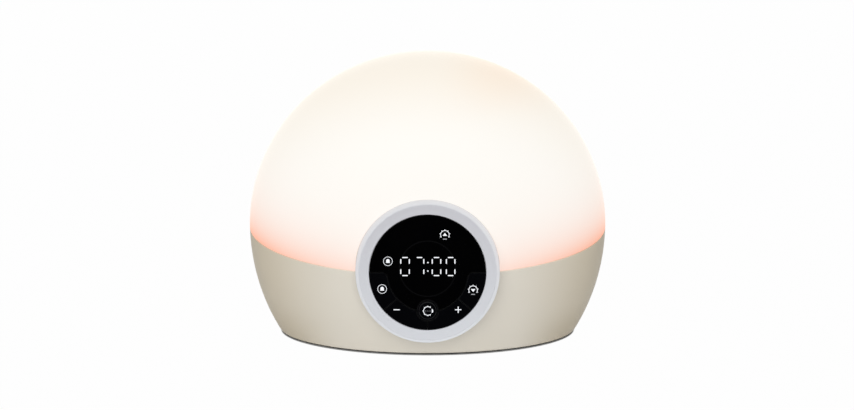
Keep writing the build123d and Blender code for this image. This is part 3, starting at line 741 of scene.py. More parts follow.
class Maker(Tree):
    """A Geometry Nodes tree with named sizes in millimetres, run over the points of a plane."""

    def __init__(self, name, **sizes):
        self.group = bpy.data.node_groups.new(name, "GeometryNodeTree")
        super().__init__(self.group.nodes, self.group.links)
        self.name = name
        self.sizes = sizes
        sockets = self.group.interface
        sockets.new_socket("Points", in_out="INPUT", socket_type="NodeSocketGeometry")
        sockets.new_socket("Made", in_out="OUTPUT", socket_type="NodeSocketGeometry")
        for size in sizes:
            sockets.new_socket(size, in_out="INPUT", socket_type="NodeSocketFloat")
        entry = self.nodes.new("NodeGroupInput")
        self.points = Value(self, entry.outputs["Points"])
        self.size = {size: Value(self, entry.outputs[size]) for size in sizes}

    def mark(self, name):
        """The number of that name that each point carries."""
        return self.node("GeometryNodeInputNamedAttribute", {"Name": name}, output="Attribute",
                         data_type="FLOAT")

    def join(self, *parts):
        """Several shapes as one."""
        joined = self.nodes.new("GeometryNodeJoinGeometry")
        for part in parts:
            self.links.new(part.socket, joined.inputs[0])
        return Value(self, joined.outputs[0])

    def pill(self, length, width):
        """A flat bar with round ends."""
        sides = {"Width": length, "Height": width}
        box = self.node("GeometryNodeCurvePrimitiveQuadrilateral", sides)
        ends = {"Curve": box, "Radius": width * 0.499, "Count": 5}
        bar = self.node("GeometryNodeFilletCurve", ends, mode="POLY")
        return self.node("GeometryNodeFillCurve", {"Curve": bar}, mode="NGONS")

    def slab(self, flat, thickness):
        """A flat shape raised into a closed solid."""
        rise = self.node("ShaderNodeCombineXYZ", {"Z": thickness})
        raised = self.node("GeometryNodeExtrudeMesh",
                           {"Mesh": flat, "Offset": rise, "Offset Scale": 1.0, "Individual": False})
        return self.join(raised, flat)

    def model(self, piece):
        """A piece that has been made already, as the shape to repeat."""
        return self.node("GeometryNodeObjectInfo", {"Object": piece}, output="Geometry")

    def place(self, shape, chosen=True):
        """A shape on each chosen point, turned by the point's own mark."""
        turn = self.node("ShaderNodeCombineXYZ", {"Z": self.mark("turn")})
        return self.node("GeometryNodeInstanceOnPoints", {
            "Points": self.points, "Selection": chosen, "Instance": shape, "Rotation": turn})

    def close(self, made, material):
        """Ends the tree: real geometry, in one material."""
        real = self.node("GeometryNodeRealizeInstances", {0: made})
        dressed = self.node("GeometryNodeSetMaterial", {"Geometry": real, "Material": material})
        self.node("NodeGroupOutput", {0: dressed})
        self.material = material
        return self

    def sweep(self, radius, columns):
        """The outline that the points draw, carried round a circle."""
        outline = self.node("GeometryNodeMeshToCurve", {"Mesh": self.points})
        circle = self.node("GeometryNodeCurvePrimitiveCircle",
                           {"Resolution": columns, "Radius": radius}, mode="RADIUS")
        return self.node("GeometryNodeCurveToMesh", {"Curve": circle, "Profile Curve": outline})

    def grow(self, name, plane, points, faces=(), **marks):
        """Runs the tree on points over a plane, and keeps the result as a mesh in its place."""
        piece = link_mesh(name, [(x, y, 0) for x, y in points], faces)
        for mark, values in marks.items():
            layer = piece.data.attributes.new(mark, "FLOAT", "POINT")
            layer.data.foreach_set("value", values)
        modifier = piece.modifiers.new(self.name, "NODES")
        modifier.node_group = self.group
        for socket in self.group.interface.items_tree:
            if socket.name in self.sizes:
                modifier[socket.identifier] = self.sizes[socket.name]
        bake(piece)
        piece.data.materials.clear()
        piece.data.materials.append(self.material)
        piece.data.transform(plane)
        return weld(piece)


# %% [markdown]
# ## The bezel
# The ring round the face is the front of a drum: a shallow dish falls from its crest to the window,
# and a bevel turns back to the drum's side. The drum's closed outline is swept round a circle by
# Geometry Nodes, and Booleans add the lugs and bosses inside. The silver is a fine satin spray,
# polished on the bevel. Painted light is added to its colour: a paler tone low on the ring, a
# painted reflection of the white floor, and a lighter tone on the polished bevel, a painted
# highlight. So the finish reads how far from the face's centre a point lies, and how far up the
# face.

# %% Silver satin
HEAD_UP = HEAD_OUT.cross(Vector((1, 0, 0)))
POLISH_R = 38.0
POLISH_FADE = 0.5


def on_face(finish):
    """How far to the right of the face's centre, and how far up the face, a point lies."""
    x, y, z = finish.coordinates()
    return x, (y - HEAD_CENTRE.y) * HEAD_UP.y + (z - HEAD_CENTRE.z) * HEAD_UP.z


def length(x, y):
    """The length of a line that goes x across and y up."""
    return (x * x + y * y) ** 0.5


def silver_satin():
    finish = Finish("silver_bezel")
    x, rise = on_face(finish)
    # the polished band on the bevel: real polish in its metal and roughness, and a painted
    # highlight in its lighter colour
    cut = length(x, rise).fade(POLISH_R - POLISH_FADE, POLISH_R + POLISH_FADE)
    grain = finish.noise(0.25, detail=3.0)
    tone = finish.mix(finish.noise(30), seen(209, 209, 215), seen(215, 216, 221))
    tone = finish.mix(grain * 0.2, tone, seen(218, 218, 224))
    tone = finish.mix(cut, tone, seen(228, 229, 233))
    # painted reflection: the ring is paler towards its bottom, as if it mirrored the white floor
    low = 1.0 - (rise / POLISH_R).fade(-0.9, 0.9)
    tone = finish.mix(low * 0.4, tone, seen(233, 238, 243))
    return finish.surface(
        Base_Color=tone,
        Roughness=finish.noise(1.8) * 0.08 + 0.50 - cut * 0.04,
        Metallic=cut * 0.85 + 0.06,
        Normal=finish.bump(finish.noise(0.5), 0.004),
    )


SILVER = silver_satin()

# %% Bezel
LIP_R = 32.4
COLLAR_T = 2.7
BEZEL_R = 39.9
DRUM_R = 37.9
CREST = 0.77
BEVEL = (1.8, 2.0)
DISH_SAG = 0.25
BEZEL_ROUNDS = [0, 0.3, 14.0, 1.0, 1.2, 0.3, 0.3, 0]
HEAD_BOSS_R = 2.5
HEAD_BOSS_RING = 35.5
BOARD_HOLES = [polar(HEAD_BOSS_RING, angle) for angle in (90, 221, 319)]
COVER_HOLES = [polar(HEAD_BOSS_RING, angle) for angle in (30, 150, 270)]
BOARD_PILOT, COVER_PILOT = 5, 8
SCREW_HOLE_R = PILOT_R + 0.15
BOARD_LEVEL = -9.0
COVER_BOSS_TOP = -5.1


def bezel_profile():
    """The drum's closed profile, from its collar out over the face and down to its back."""
    crest_r = BEZEL_R - BEVEL[0]
    middle = ((LIP_R + crest_r) / 2, CREST / 2 - DISH_SAG)
    points = [(LIP_R, -COLLAR_T), (LIP_R, 0), middle, (crest_r, CREST), (BEZEL_R, -BEVEL[1]),
              (BEZEL_R, DRUM_BACK), (DRUM_R, DRUM_BACK), (DRUM_R, -COLLAR_T)]
    return rounded(points, BEZEL_ROUNDS, step=8.0)


def lug(angle):
    """One of the drum's four fixing lugs."""
    root, tip = polar(LUG_RING - LUG_REACH, angle), polar(LUG_RING, angle)
    outline = arc(tip, LUG_R, angle - 90, angle + 90) + arc(root, LUG_R, angle + 90, angle + 270)
    return plate("lug", outline, HEAD, DRUM_BACK, DRUM_BACK + LUG_T)


def bezel_drum():
    """The drum, swept from its outline. A sweep carries the outline's x outwards and its y back."""
    outline = [(radius - LIP_R, -height) for radius, height in bezel_profile()]
    tree = Maker("bezel_sweep", radius=LIP_R)
    tree.close(tree.sweep(tree.size["radius"], 256), SILVER)
    return tree.grow("round_bezel", HEAD, outline, [tuple(range(len(outline)))])


bezel = bezel_drum()
combine(bezel, "UNION",
        *pins(HEAD, BOARD_HOLES, HEAD_BOSS_R, BOARD_LEVEL, -COLLAR_T + OVERLAP),
        *pins(HEAD, COVER_HOLES, HEAD_BOSS_R, DRUM_BACK, COVER_BOSS_TOP),
        *[lug(angle) for angle in LUG_ANGLES])
combine(bezel, "DIFFERENCE",
        *pins(HEAD, BOARD_HOLES, PILOT_R, BOARD_LEVEL - BEYOND, BOARD_LEVEL + BOARD_PILOT),
        *pins(HEAD, COVER_HOLES, PILOT_R, DRUM_BACK - BEYOND, DRUM_BACK + COVER_PILOT),
        *pins(HEAD, LUGS, SCREW_HOLE_R, DRUM_BACK - BEYOND, DRUM_BACK + LUG_T + BEYOND))
smooth(bezel, 25)
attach(bezel, "clock_body")
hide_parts("display_bezel")
print("bezel faces", len(bezel.data.polygons))

# %% [markdown]
# ## Black gloss
# The window and the keys are black acrylic with a hard polish. Real ones are never quite even:
# a faint haze and a few hairline scuffs change the roughness, and a slow ripple bends reflections.

# %% Black acrylic
CIRCLE_R = 15.5
CIRCLE_Y = 2.2
CIRCLE_TONE = (0.0042, 0.0042, 0.0046)


def black_gloss(name, dark, light, circle=False):
    """Black acrylic, with or without the faint circle that is printed behind the window."""
    finish = Finish(name)
    haze = finish.noise(18)
    scuffs = finish.noise(1.5, stretch=(1, 0.1, 1), detail=4.0).fade(0.62, 0.80)
    tone = finish.mix(haze, dark, light)
    if circle:
        x, rise = on_face(finish)
        edge = abs(length(x, rise - CIRCLE_Y) - CIRCLE_R).fade(0.15, 0.45)
        tone = finish.mix(1.0 - edge, tone, CIRCLE_TONE)
    return finish.surface(
        Base_Color=tone,
        Roughness=haze * 0.03 + scuffs * 0.03 + 0.05,
        Specular_IOR_Level=0.2,
        Normal=finish.bump(finish.noise(9), 0.002),
    )


GLOSS = black_gloss("black_gloss", (0.0014, 0.0015, 0.0021), (0.0021, 0.0022, 0.0030))
WINDOW_GLOSS = black_gloss("window_gloss", (0.0005, 0.0005, 0.0006), (0.0010, 0.0010, 0.0012), True)

# %% [markdown]
# ## The window and its keys
# The window is a disc whose lower half is cut back to a smaller circle. Four keys fill the band
# that leaves, and a round one sits between them at the bottom. All of the gaps are one width, which
# falls out of drawing each piece from the same circles, moved by half a gap.

# %% Window and key outlines
WINDOW_R = 32.1
WINDOW_T = 2.6
BAND_R = 22.1
GAP = 0.3
SHOULDER_R = 3.0
ROUND_KEY = (0.0, -21.4)
ROUND_KEY_R = 5.8
DISH_Z = -0.22
SIDE_SPLIT = 41.0
FLANGE_R = 33.2
FLANGE_FRONT = -2.9
FLANGE_BACK = -4.1
CATCH = 1.0
FACE_RIM = 0.15
BIG_STEP, BITE_STEP, SHOULDER_STEP = 1.5, 5, 8      # degrees along the arcs


def angle_of(x, y):
    """The angle of a point about the origin, from 0 to 360 degrees."""
    return degrees(atan2(y, x)) % 360


SHOULDER = (-sqrt((BAND_R + GAP + SHOULDER_R) ** 2 - (GAP / 2 + SHOULDER_R) ** 2),
            -GAP / 2 - SHOULDER_R)
SHOULDER_AT = angle_of(*SHOULDER)
SHOULDER_TOUCH = angle_of(-SHOULDER[0], -SHOULDER[1])
NOTCH_SLIP = 0.2
LEFT, BOTTOM = 180, 270


def meeting(radius, round_r):
    """The angles, about each centre, where a circle round the face's centre meets one round the
    round key on the left."""
    y = -(radius ** 2 + ROUND_KEY[1] ** 2 - round_r ** 2) / (-2 * ROUND_KEY[1])
    x = -sqrt(radius ** 2 - y ** 2)
    return angle_of(x, y), angle_of(x - ROUND_KEY[0], y - ROUND_KEY[1])


def side_of(angle, radius, way=1):
    """The angle at which a line half a gap beside a radius crosses a circle."""
    return angle + way * degrees(asin(GAP / 2 / radius))


def window_outline():
    """The window: a half disc over a smaller one, with a bite for the round key."""
    flat = side_of(0, WINDOW_R)
    notch_r = SHOULDER_R + GAP
    notch = SHOULDER_AT + NOTCH_SLIP
    bite_r = ROUND_KEY_R + GAP
    bite, bite_start = meeting(BAND_R, bite_r)
    path = arc(CENTRE, WINDOW_R, flat, 180 - flat, BIG_STEP)
    path += arc(SHOULDER, notch_r, 90, SHOULDER_TOUCH, SHOULDER_STEP)
    path += arc(CENTRE, BAND_R, notch, bite, BIG_STEP)
    path += arc(ROUND_KEY, bite_r, bite_start, 180 - bite_start, BITE_STEP)[1:]
    path += arc(CENTRE, BAND_R, 540 - bite, 540 - SHOULDER_AT - NOTCH_SLIP, BIG_STEP)[1:]
    path += arc((-SHOULDER[0], SHOULDER[1]), notch_r, 180 - SHOULDER_TOUCH, 90, SHOULDER_STEP)
    return path


def key_outline(start, end, outer_r, inner_r, round_r, shoulder=False):
    """A key of the band on the left, between two angles, that makes way for the round key."""
    path = arc(CENTRE, outer_r, side_of(start, outer_r), side_of(end, outer_r, -1), BIG_STEP)
    bitten = end == BOTTOM
    if bitten:
        inner_end, stop = meeting(inner_r, round_r)
        path += arc(ROUND_KEY, round_r, side_of(end, round_r, -1), stop, BITE_STEP)
    else:
        inner_end = side_of(end, inner_r, -1)
    if shoulder:
        path += arc(CENTRE, inner_r, inner_end, SHOULDER_AT, BIG_STEP)
        path += arc(SHOULDER, SHOULDER_R, SHOULDER_TOUCH, 90, SHOULDER_STEP)[1:]
    else:
        path += arc(CENTRE, inner_r, inner_end, side_of(start, inner_r), BIG_STEP)[int(bitten):]
    return path


def mirrored(outline):
    """An outline turned over from left to right, still anticlockwise."""
    return [(-x, y) for x, y in reversed(outline)]


print("window outline points", len(window_outline()))

# %% Window


def half_ring(outer_r, inner_r):
    """The upper half of a ring."""
    outer, inner = side_of(0, outer_r), side_of(0, inner_r)
    return (arc(CENTRE, outer_r, outer, 180 - outer, BIG_STEP)
            + arc(CENTRE, inner_r, 180 - inner, inner, BIG_STEP))


SKIRT_R = WINDOW_R - 2
DEEP = -6       # a level behind the flanges, from which they are cut
window = plate("black_window", window_outline(), HEAD, -WINDOW_T, 0, FACE_RIM, WINDOW_GLOSS)
combine(window, "UNION",
        plate("skirt", half_ring(WINDOW_R - 0.01, SKIRT_R), HEAD, FLANGE_BACK,
              -WINDOW_T + OVERLAP))
flange = plate("flange", half_ring(FLANGE_R, SKIRT_R), HEAD, FLANGE_BACK, FLANGE_FRONT)
combine(flange, "DIFFERENCE", *pins(HEAD, BOARD_HOLES[:1], HEAD_BOSS_R + 0.1, DEEP, 0))
combine(window, "UNION", flange)
smooth(window, 10)
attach(window, "clock_body")
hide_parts("display_window")
print("window faces", len(window.data.polygons))

# %% Keys
SPLIT = LEFT + SIDE_SPLIT
CATCH_BACK = FLANGE_BACK - 0.001
BAND_KEYS = {"alarm": (LEFT, SPLIT, False), "minus": (SPLIT, BOTTOM, False),
             "sunset": (LEFT, SPLIT, True), "plus": (SPLIT, BOTTOM, True)}


def band_key(name, start, end, flip):
    """A key of the band: a deep cap and the flange that catches behind the bezel."""
    cap = key_outline(start, end, WINDOW_R, BAND_R + GAP, ROUND_KEY_R + GAP, start == LEFT)
    skirt = key_outline(start, end, FLANGE_R, BAND_R - CATCH, ROUND_KEY_R + CATCH + GAP)
    if flip:
        cap, skirt = mirrored(cap), mirrored(skirt)
    key = plate(name + "_key_cap", cap, HEAD, FLANGE_BACK, 0, FACE_RIM, GLOSS)
    catch = plate("catch", skirt, HEAD, CATCH_BACK, FLANGE_FRONT)
    combine(catch, "DIFFERENCE", *pins(HEAD, BOARD_HOLES[1:], HEAD_BOSS_R + GAP, DEEP, 0))
    return combine(key, "UNION", catch)


def round_key():
    """The round key, with a thumb's dish and two fine rings in its top."""
    dish = [(0, DISH_Z), (3.4, DISH_Z), (4.55, -0.1), (4.7, -0.16), (4.85, -0.08)]
    rim = rounded([(5.2, -0.02), (ROUND_KEY_R, 0), (ROUND_KEY_R, FLANGE_BACK)], [0, 0.2, 0],
                  closed=False, step=22)
    top = dish + rim + [(0, FLANGE_BACK)]
    key = spin("light_key_cap", top, over(HEAD, *ROUND_KEY), GLOSS, columns=96)
    catch = pin(HEAD, ROUND_KEY, ROUND_KEY_R + CATCH, CATCH_BACK, FLANGE_FRONT)
    combine(catch, "INTERSECT", pin(HEAD, CENTRE, BAND_R, DEEP, 0, columns=128))
    return combine(key, "UNION", catch)


keys = {name: band_key(name, *sector) for name, sector in BAND_KEYS.items()}
keys["light"] = round_key()
for name, key in keys.items():
    smooth(key, 10)
    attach(key, name + "_key")
    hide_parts(name + "_button")
    print(name, "key faces", len(key.data.polygons))

# %% [markdown]
# ## Lit marks
# Behind the window the digits are bars of light, and on the keys small pictures are lit from
# behind. From outside both are thin marks on black, so each is a plate that stands a fiftieth of a
# millimetre proud of the polish, bright by itself and slightly uneven, as light through ink is.

# %% Lit finish
MARK_DEPTH = 0.05
MARK_PROUD = 0.02


def lit_mark(name, dim, bright, strength):
    finish = Finish(name)
    glow = finish.mix(finish.noise(1.4), seen(*dim), seen(*bright))
    return finish.surface(
        Base_Color=finish.mix(finish.noise(0.5), (0.10, 0.10, 0.11), (0.14, 0.14, 0.15)),
        Roughness=finish.noise(0.8) * 0.1 + 0.35,
        Specular_IOR_Level=0.2,
        Emission_Color=glow,
        Emission_Strength=strength,
    )


LIT = lit_mark("lit_segment", (232, 238, 246), (255, 255, 255), 1.0)
DIM = lit_mark("dim_mark", (136, 138, 142), (158, 160, 164), 0.9)
FAINT = lit_mark("faint_mark", (80, 82, 86), (104, 106, 110), 0.9)

# %% Digits
BAR_W = 0.58
FLAT_BAR = 3.05
UPRIGHT_BAR = 2.65
DIGIT_XS = (-12.42, -4.45, 4.9, 12.68)
DIGIT_Y = 3.45
SIDE, RISE = 2.35, 5.05
COLON_X = 0.15
COLON_YS = (0.95, 5.7)
FLAT, UPRIGHT, DOT = 0, 1, 2
DOT_W = 0.8
BARS = {"a": (0, 1, FLAT), "b": (1, 0.57, UPRIGHT), "c": (1, -0.57, UPRIGHT),
        "d": (0, -1, FLAT), "e": (-1, -0.57, UPRIGHT), "f": (-1, 0.57, UPRIGHT)}
LIT_BARS = {"0": "abcdef", "7": "abc"}


def digit_maker():
    """A tree with three shapes: flat bars, upright bars and dots, by each point's kind."""
    tree = Maker("digit_bars", flat=FLAT_BAR, upright=UPRIGHT_BAR, width=BAR_W, dot=DOT_W,
                 thickness=MARK_DEPTH + MARK_PROUD)
    kind = tree.mark("kind")
    made = []
    for number, sides in enumerate((("flat", "width"), ("upright", "width"), ("dot", "dot"))):
        chosen = abs(kind - number).maths("LESS_THAN", 0.5)
        bar = tree.pill(*[tree.size[side] for side in sides])
        made.append(tree.place(tree.slab(bar, tree.size["thickness"]), chosen))
    return tree.close(tree.join(*made), LIT)


def digit_points(shown):
    """Where the lit bars and the colon's dots stand, and the kind of each."""
    points = [(COLON_X, y) for y in COLON_YS]
    kinds = [DOT] * len(points)
    for digit_x, digit in zip(DIGIT_XS, shown):
        for bar in LIT_BARS[digit]:
            x, y, kind = BARS[bar]
            points.append((digit_x + x * SIDE, DIGIT_Y + y * RISE))
            kinds.append(kind)
    return points, kinds


bar_points, bar_kinds = digit_points("0700")
quarter_turns = [pi / 2 if kind == UPRIGHT else 0.0 for kind in bar_kinds]
digits = digit_maker().grow("lit_digits", over(HEAD, 0, 0, -MARK_DEPTH), bar_points,
                            kind=bar_kinds, turn=quarter_turns)
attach(digits, "clock_body")
print("digit bars and dots", len(bar_points), "faces", len(digits.data.polygons))

# %% [markdown]
# ## Small pictures
# The indicators and keys carry common signs: a bell for the alarm, a sun that rises or sets, less
# and more, and a sun joined to a moon for the lamp. Each is built up from strokes: whole rings,
# open rings with round ends, filled shapes, and rays grown round a ring.

# %% Signs
BELL_RING = (2.45, 0.26)
SUN_RING = (2.35, 0.34)
SUN_OPENING = (-33.0, 213.0)
SUN_RAYS = (-26, 12, 52, 90, 128, 168, 206)
LAMP_RING = (2.4, 0.36)
LAMP_OPENING = (52.0, 308.0)
LAMP_RAYS = (60, 90, 135, 180, 225, 270, 300)
RAY = (0.5, 0.34)
SIGN_STROKE = (3.5, 0.5)


def stroke(centre, radius, width, start, end):
    """The outline of a thick arc with round ends."""
    first, last = shifted([polar(radius, start), polar(radius, end)], *centre)
    return (arc(centre, radius + width / 2, start, end, 6)
            + arc(last, width / 2, end, end + 180, 30)[1:-1]
            + arc(centre, radius - width / 2, end, start, 6)
            + arc(first, width / 2, start + 180, start + 360, 30)[1:-1])


def filled(plane, outline, material=LIT):
    """A filled mark."""
    return plate("mark", outline, plane, -MARK_DEPTH, MARK_PROUD, material=material)


def hoop(plane, radius, width):
    """A whole ring."""
    inner, outer = radius - width / 2, radius + width / 2
    section = [(inner, -MARK_DEPTH), (outer, -MARK_DEPTH), (outer, MARK_PROUD),
               (inner, MARK_PROUD)]
    return spin("mark", section, plane, LIT, ring=True, columns=60)


def rays(plane, radius, angles):
    """Short rays round a ring."""
    tree = Maker("rays", length=RAY[0], width=RAY[1], thickness=MARK_DEPTH + MARK_PROUD)
    ray = tree.pill(tree.size["length"], tree.size["width"])
    tree.close(tree.place(tree.slab(ray, tree.size["thickness"])), LIT)
    return tree.grow("mark", over(plane, 0, 0, -MARK_DEPTH),
                     [polar(radius, angle) for angle in angles],
                     turn=[radians(angle) for angle in angles])


def bell_sign(plane):
    """A bell in a ring."""
    mouth = [(-0.95, -0.6), (-1.2, -0.9), (1.2, -0.9), (0.95, -0.6)]
    bell = arc((0, 0.3), 0.95, 0, 180, 10) + mouth
    return [hoop(plane, *BELL_RING), filled(plane, bell)]


def sun_sign(plane, way):
    """A sun over the horizon, with an arrowhead that points up, way 1, or down, way -1."""
    arrow = [(-1.25, -0.6), (1.25, -0.6), (0, 1.05)]
    if way < 0:
        arrow = [(-x, -y) for x, y in arrow]
    return [filled(plane, stroke(CENTRE, *SUN_RING, *SUN_OPENING)),
            rays(plane, SUN_RING[0] + 0.4, SUN_RAYS),
            filled(plane, arrow),
            filled(plane, shifted(rectangle(2.2, 0.5, 0.24), 0, -2.4), DIM)]


def lamp_sign(plane):
    """A sun joined to a sliver of moon, round three faint dots."""
    moon = arc((1.6, 0), 1.35, -65, 65, 10)
    dots = [filled(plane, shifted(ellipse(0.24, 0.24, 16), x, 0), FAINT) for x in (-1.15, 0.0, 1.2)]
    return [filled(plane, stroke(CENTRE, *LAMP_RING, *LAMP_OPENING)),
            rays(plane, LAMP_RING[0] + 0.3, LAMP_RAYS), filled(plane, moon), *dots]


def less_sign(plane):
    """A dash."""
    return [filled(plane, rectangle(*SIGN_STROKE, 0.2))]


def more_sign(plane):
    """A cross, as one outline."""
    long, half = SIGN_STROKE[0] / 2, SIGN_STROKE[1] / 2
    arm = [(long, -half), (long, half), (half, half)]
    turns = [arm, [(-y, x) for x, y in arm], [(-x, -y) for x, y in arm], [(y, -x) for x, y in arm]]
    return [filled(plane, [point for turn in turns for point in turn])]


def gather(name, pieces):
    """Several meshes as one piece that keeps their materials."""
    mesh = bpy.data.meshes.new(name)
    work = bmesh.new()
    for piece in pieces:
        material = piece.data.materials[0]
        if mesh.materials.find(material.name) < 0:
            mesh.materials.append(material)
        start = len(work.faces)
        work.from_mesh(piece.data)
        work.faces.ensure_lookup_table()
        for face in work.faces[start:]:
            face.material_index = mesh.materials.find(material.name)
        bpy.data.objects.remove(piece)
    work.to_mesh(mesh)
    work.free()
    whole = bpy.data.objects.new(name, mesh)
    scene.collection.objects.link(whole)
    return whole


SIGNS = {
    "alarm_indicator": ("clock_body", bell_sign(over(HEAD, -21.85, 6.4))),
    "sunrise_indicator": ("clock_body", sun_sign(over(HEAD, 9.5, 21.2), 1)),
    "alarm_key_sign": ("alarm_key", bell_sign(over(HEAD, -25.05, -9.15))),
    "sunset_key_sign": ("sunset_key", sun_sign(over(HEAD, 25.1, -9.75), -1)),
    "minus_key_sign": ("minus_key", less_sign(over(HEAD, -17.1, -20.8))),
    "plus_key_sign": ("plus_key", more_sign(over(HEAD, 16.9, -20.8))),
    "light_key_sign": ("light_key", lamp_sign(over(HEAD, 0.15, -21.55, DISH_Z))),
}
for name, (body, strokes) in SIGNS.items():
    sign = gather(name, strokes)
    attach(sign, body)
print("signs", len(SIGNS))

# %% [markdown]
# ## Feet and cover screws
# Under the dark cover stand four rubber feet and four sunk screws. One foot is lathe work with a
# dished sole, one screw is lathe work with a cross cut into its head, and each is then grown at its
# four places.

# %% Rubber and steel


def foot_rubber():
    finish = Finish("foot_rubber")
    dust = finish.noise(2.2, detail=4.0)
    return finish.surface(
        Base_Color=finish.mix(dust, (0.018, 0.018, 0.018), (0.040, 0.039, 0.037)),
        Roughness=finish.noise(0.7) * 0.15 + 0.72,
        Specular_IOR_Level=0.3,
        Normal=finish.bump(finish.noise(0.25), 0.01),
    )


def bright_metal(name, dark, light, roughness, stretch=(1, 1, 1), grain=0.12, depth=0.004):
    """A plated or brushed metal: fine streaks in its colour, roughness and relief."""
    finish = Finish(name)
    streaks = finish.noise(grain, stretch=stretch, detail=3.0)
    stains = finish.noise(3.0)
    return finish.surface(
        Base_Color=finish.mix(streaks * 0.6 + stains * 0.4, dark, light),
        Metallic=1.0,
        Roughness=streaks * 0.12 + roughness,
        Normal=finish.bump(streaks, depth),
    )


RUBBER = foot_rubber()
STEEL = bright_metal("screw_steel", (0.42, 0.43, 0.45), (0.66, 0.66, 0.67), 0.24)

# %% Feet and screws
FOOT_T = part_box("rubber_feet")[1].z / MM
FOOT_R = 5.0
FOOT_PLACES = corners(50, 27)
FOOT_PROFILE = [(0, 0.06), (3.3, 0.06), (3.6, 0), (FOOT_R - 0.15, 0), (FOOT_R, 0.15),
                (FOOT_R, FOOT_T), (0, FOOT_T)]
SCREW_R = 1.2
SUNK_HEAD_R = 2.6
SCREW_LENGTH = 9.0
CROSS = (2.6, 0.6)
CROSS_DEPTH = 0.8
CROSS_CORNER_R = 0.12
SCREW_TURNS = [0.3, 1.1, 0.7, 1.4]
SCREW_Z = COVER_Z + 0.1
SCREW_TIP_Z = SCREW_Z + SCREW_LENGTH
MODEL = Matrix.Identity(4)      # a model stays in millimetres until it is grown in its places,
MODEL_GAP = 1e-4                # so it is welded at a wider gap


def repeat(name, model, places, turns, material):
    """A finished model grown at several places of the level plane, and then put away."""
    tree = Maker(name, size=1.0)
    scaled = tree.node("GeometryNodeTransform", {
        "Geometry": tree.model(model),
        "Scale": tree.node("ShaderNodeCombineXYZ", {axis: tree.size["size"] for axis in "XYZ"})})
    tree.close(tree.place(scaled), material)
    made = tree.grow(name, LEVEL, places, turn=turns)
    bpy.data.objects.remove(model)
    return made


def cover_screw():
    """One sunk screw, head down, with its cross."""
    head = SUNK_HEAD_R - SCREW_R
    outline = [(0, SCREW_Z), (SUNK_HEAD_R - 0.05, SCREW_Z), (SUNK_HEAD_R, SCREW_Z + 0.05),
               (SCREW_R, SCREW_Z + head), (SCREW_R, SCREW_TIP_Z - 0.5),
               (SCREW_R - 0.4, SCREW_TIP_Z), (0, SCREW_TIP_Z)]
    screw = weld(spin("screw", outline, MODEL, columns=40), MODEL_GAP)
    for size in (CROSS, CROSS[::-1]):
        bar = rectangle(*size, CROSS_CORNER_R)
        slot = plate("cross", bar, MODEL, SCREW_Z - BEYOND, SCREW_Z + CROSS_DEPTH)
        combine(screw, "DIFFERENCE", slot)
    return screw


foot_model = weld(spin("foot", FOOT_PROFILE, MODEL), MODEL_GAP)
feet = repeat("moulded_feet", foot_model, FOOT_PLACES, [0.0] * 4, RUBBER)
screws = repeat("sunk_cover_screws", cover_screw(), POSTS, SCREW_TURNS, STEEL)
for piece, node in ((feet, "rubber_feet"), (screws, "bottom_cover_screws")):
    smooth(piece)
    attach(piece, "clock_body")
    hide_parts(node)
print("feet faces", len(feet.data.polygons), "screw faces", len(screws.data.polygons))

# %% [markdown]
# ## Finishes for the pieces inside
# The other pieces keep the CAD's own meshes and only need finishes. Most are moulded plastics that
# differ in tone, gloss and grain, so one function makes them all. Circuit boards get copper traces
# under their lacquer and tinned dots where parts are soldered, and the rest get what sets them
# apart: a capacitor's stripe and bare top, a ribbon's separate wires, a lamp's yellow phosphor.

# %% Moulded plastics
dressed = set()


def dress(names, material):
    """Gives the CAD pieces named in a line of words their finish."""
    for name in names.split():
        for slot in frame["nodes"][name].material_slots:
            slot.material = material
        dressed.add(name)


def moulded(name, dark, light, roughness, grain=0.4, depth=0.008, gloss=0.5):
    """A moulded surface: slight drift in its tone, and an even spark-eroded grain."""
    finish = Finish(name)
    speckle = finish.noise(grain, detail=3.0)
    drift = finish.noise(12)
    return finish.surface(
        Base_Color=finish.mix(speckle * 0.5 + drift * 0.5, dark, light),
        Roughness=speckle * 0.12 + roughness,
        Specular_IOR_Level=gloss,
        Normal=finish.bump(speckle, depth),
    )


def clear_acrylic():
    """The light guides: clear, with a faint frost where they were cut."""
    finish = Finish("clear_guide")
    frost = finish.noise(0.6)
    return finish.surface(
        Base_Color=finish.mix(frost, (0.90, 0.92, 0.94), (0.97, 0.98, 0.99)),
        Roughness=frost * 0.15 + 0.05,
        Transmission_Weight=0.9,
        IOR=1.49,
    )


dress("bottom_cover", moulded("dark_cover", (0.008, 0.008, 0.009), (0.016, 0.016, 0.017), 0.52,
                              depth=0.012, gloss=0.2))
dress("head_cover", moulded("inner_black", (0.016, 0.016, 0.018), (0.030, 0.030, 0.033), 0.58))
dress("reflector_tray", moulded("inner_white", (0.76, 0.76, 0.74), (0.86, 0.86, 0.85), 0.35,
                                depth=0.003))
dress("tact_switches beeper",
      moulded("switch_black", (0.012, 0.012, 0.012), (0.026, 0.026, 0.026), 0.42))
dress(" ".join(key + "_switch_plunger" for key in keys),
      moulded("switch_plunger", (0.64, 0.63, 0.58), (0.76, 0.75, 0.70), 0.34, depth=0.003))
dress("digit_display", moulded("display_face", (0.010, 0.010, 0.011), (0.018, 0.018, 0.019), 0.30))
dress("digit_segments", moulded("segment_resin", (0.82, 0.84, 0.88), (0.92, 0.94, 0.97), 0.28,
                                depth=0.002))
dress("driver_inductor", moulded("ferrite", (0.055, 0.055, 0.056), (0.13, 0.13, 0.13), 0.66,
                                 grain=0.25, depth=0.02))
dress("control_chips", moulded("chip_black", (0.014, 0.014, 0.014), (0.030, 0.030, 0.030), 0.50,
                               grain=0.2))
dress("board_connectors", moulded("connector_white", (0.74, 0.73, 0.66), (0.86, 0.85, 0.79), 0.40))
dress("indicator_light_guides", clear_acrylic())
print("CAD pieces dressed so far", len(dressed))

# %% Boards


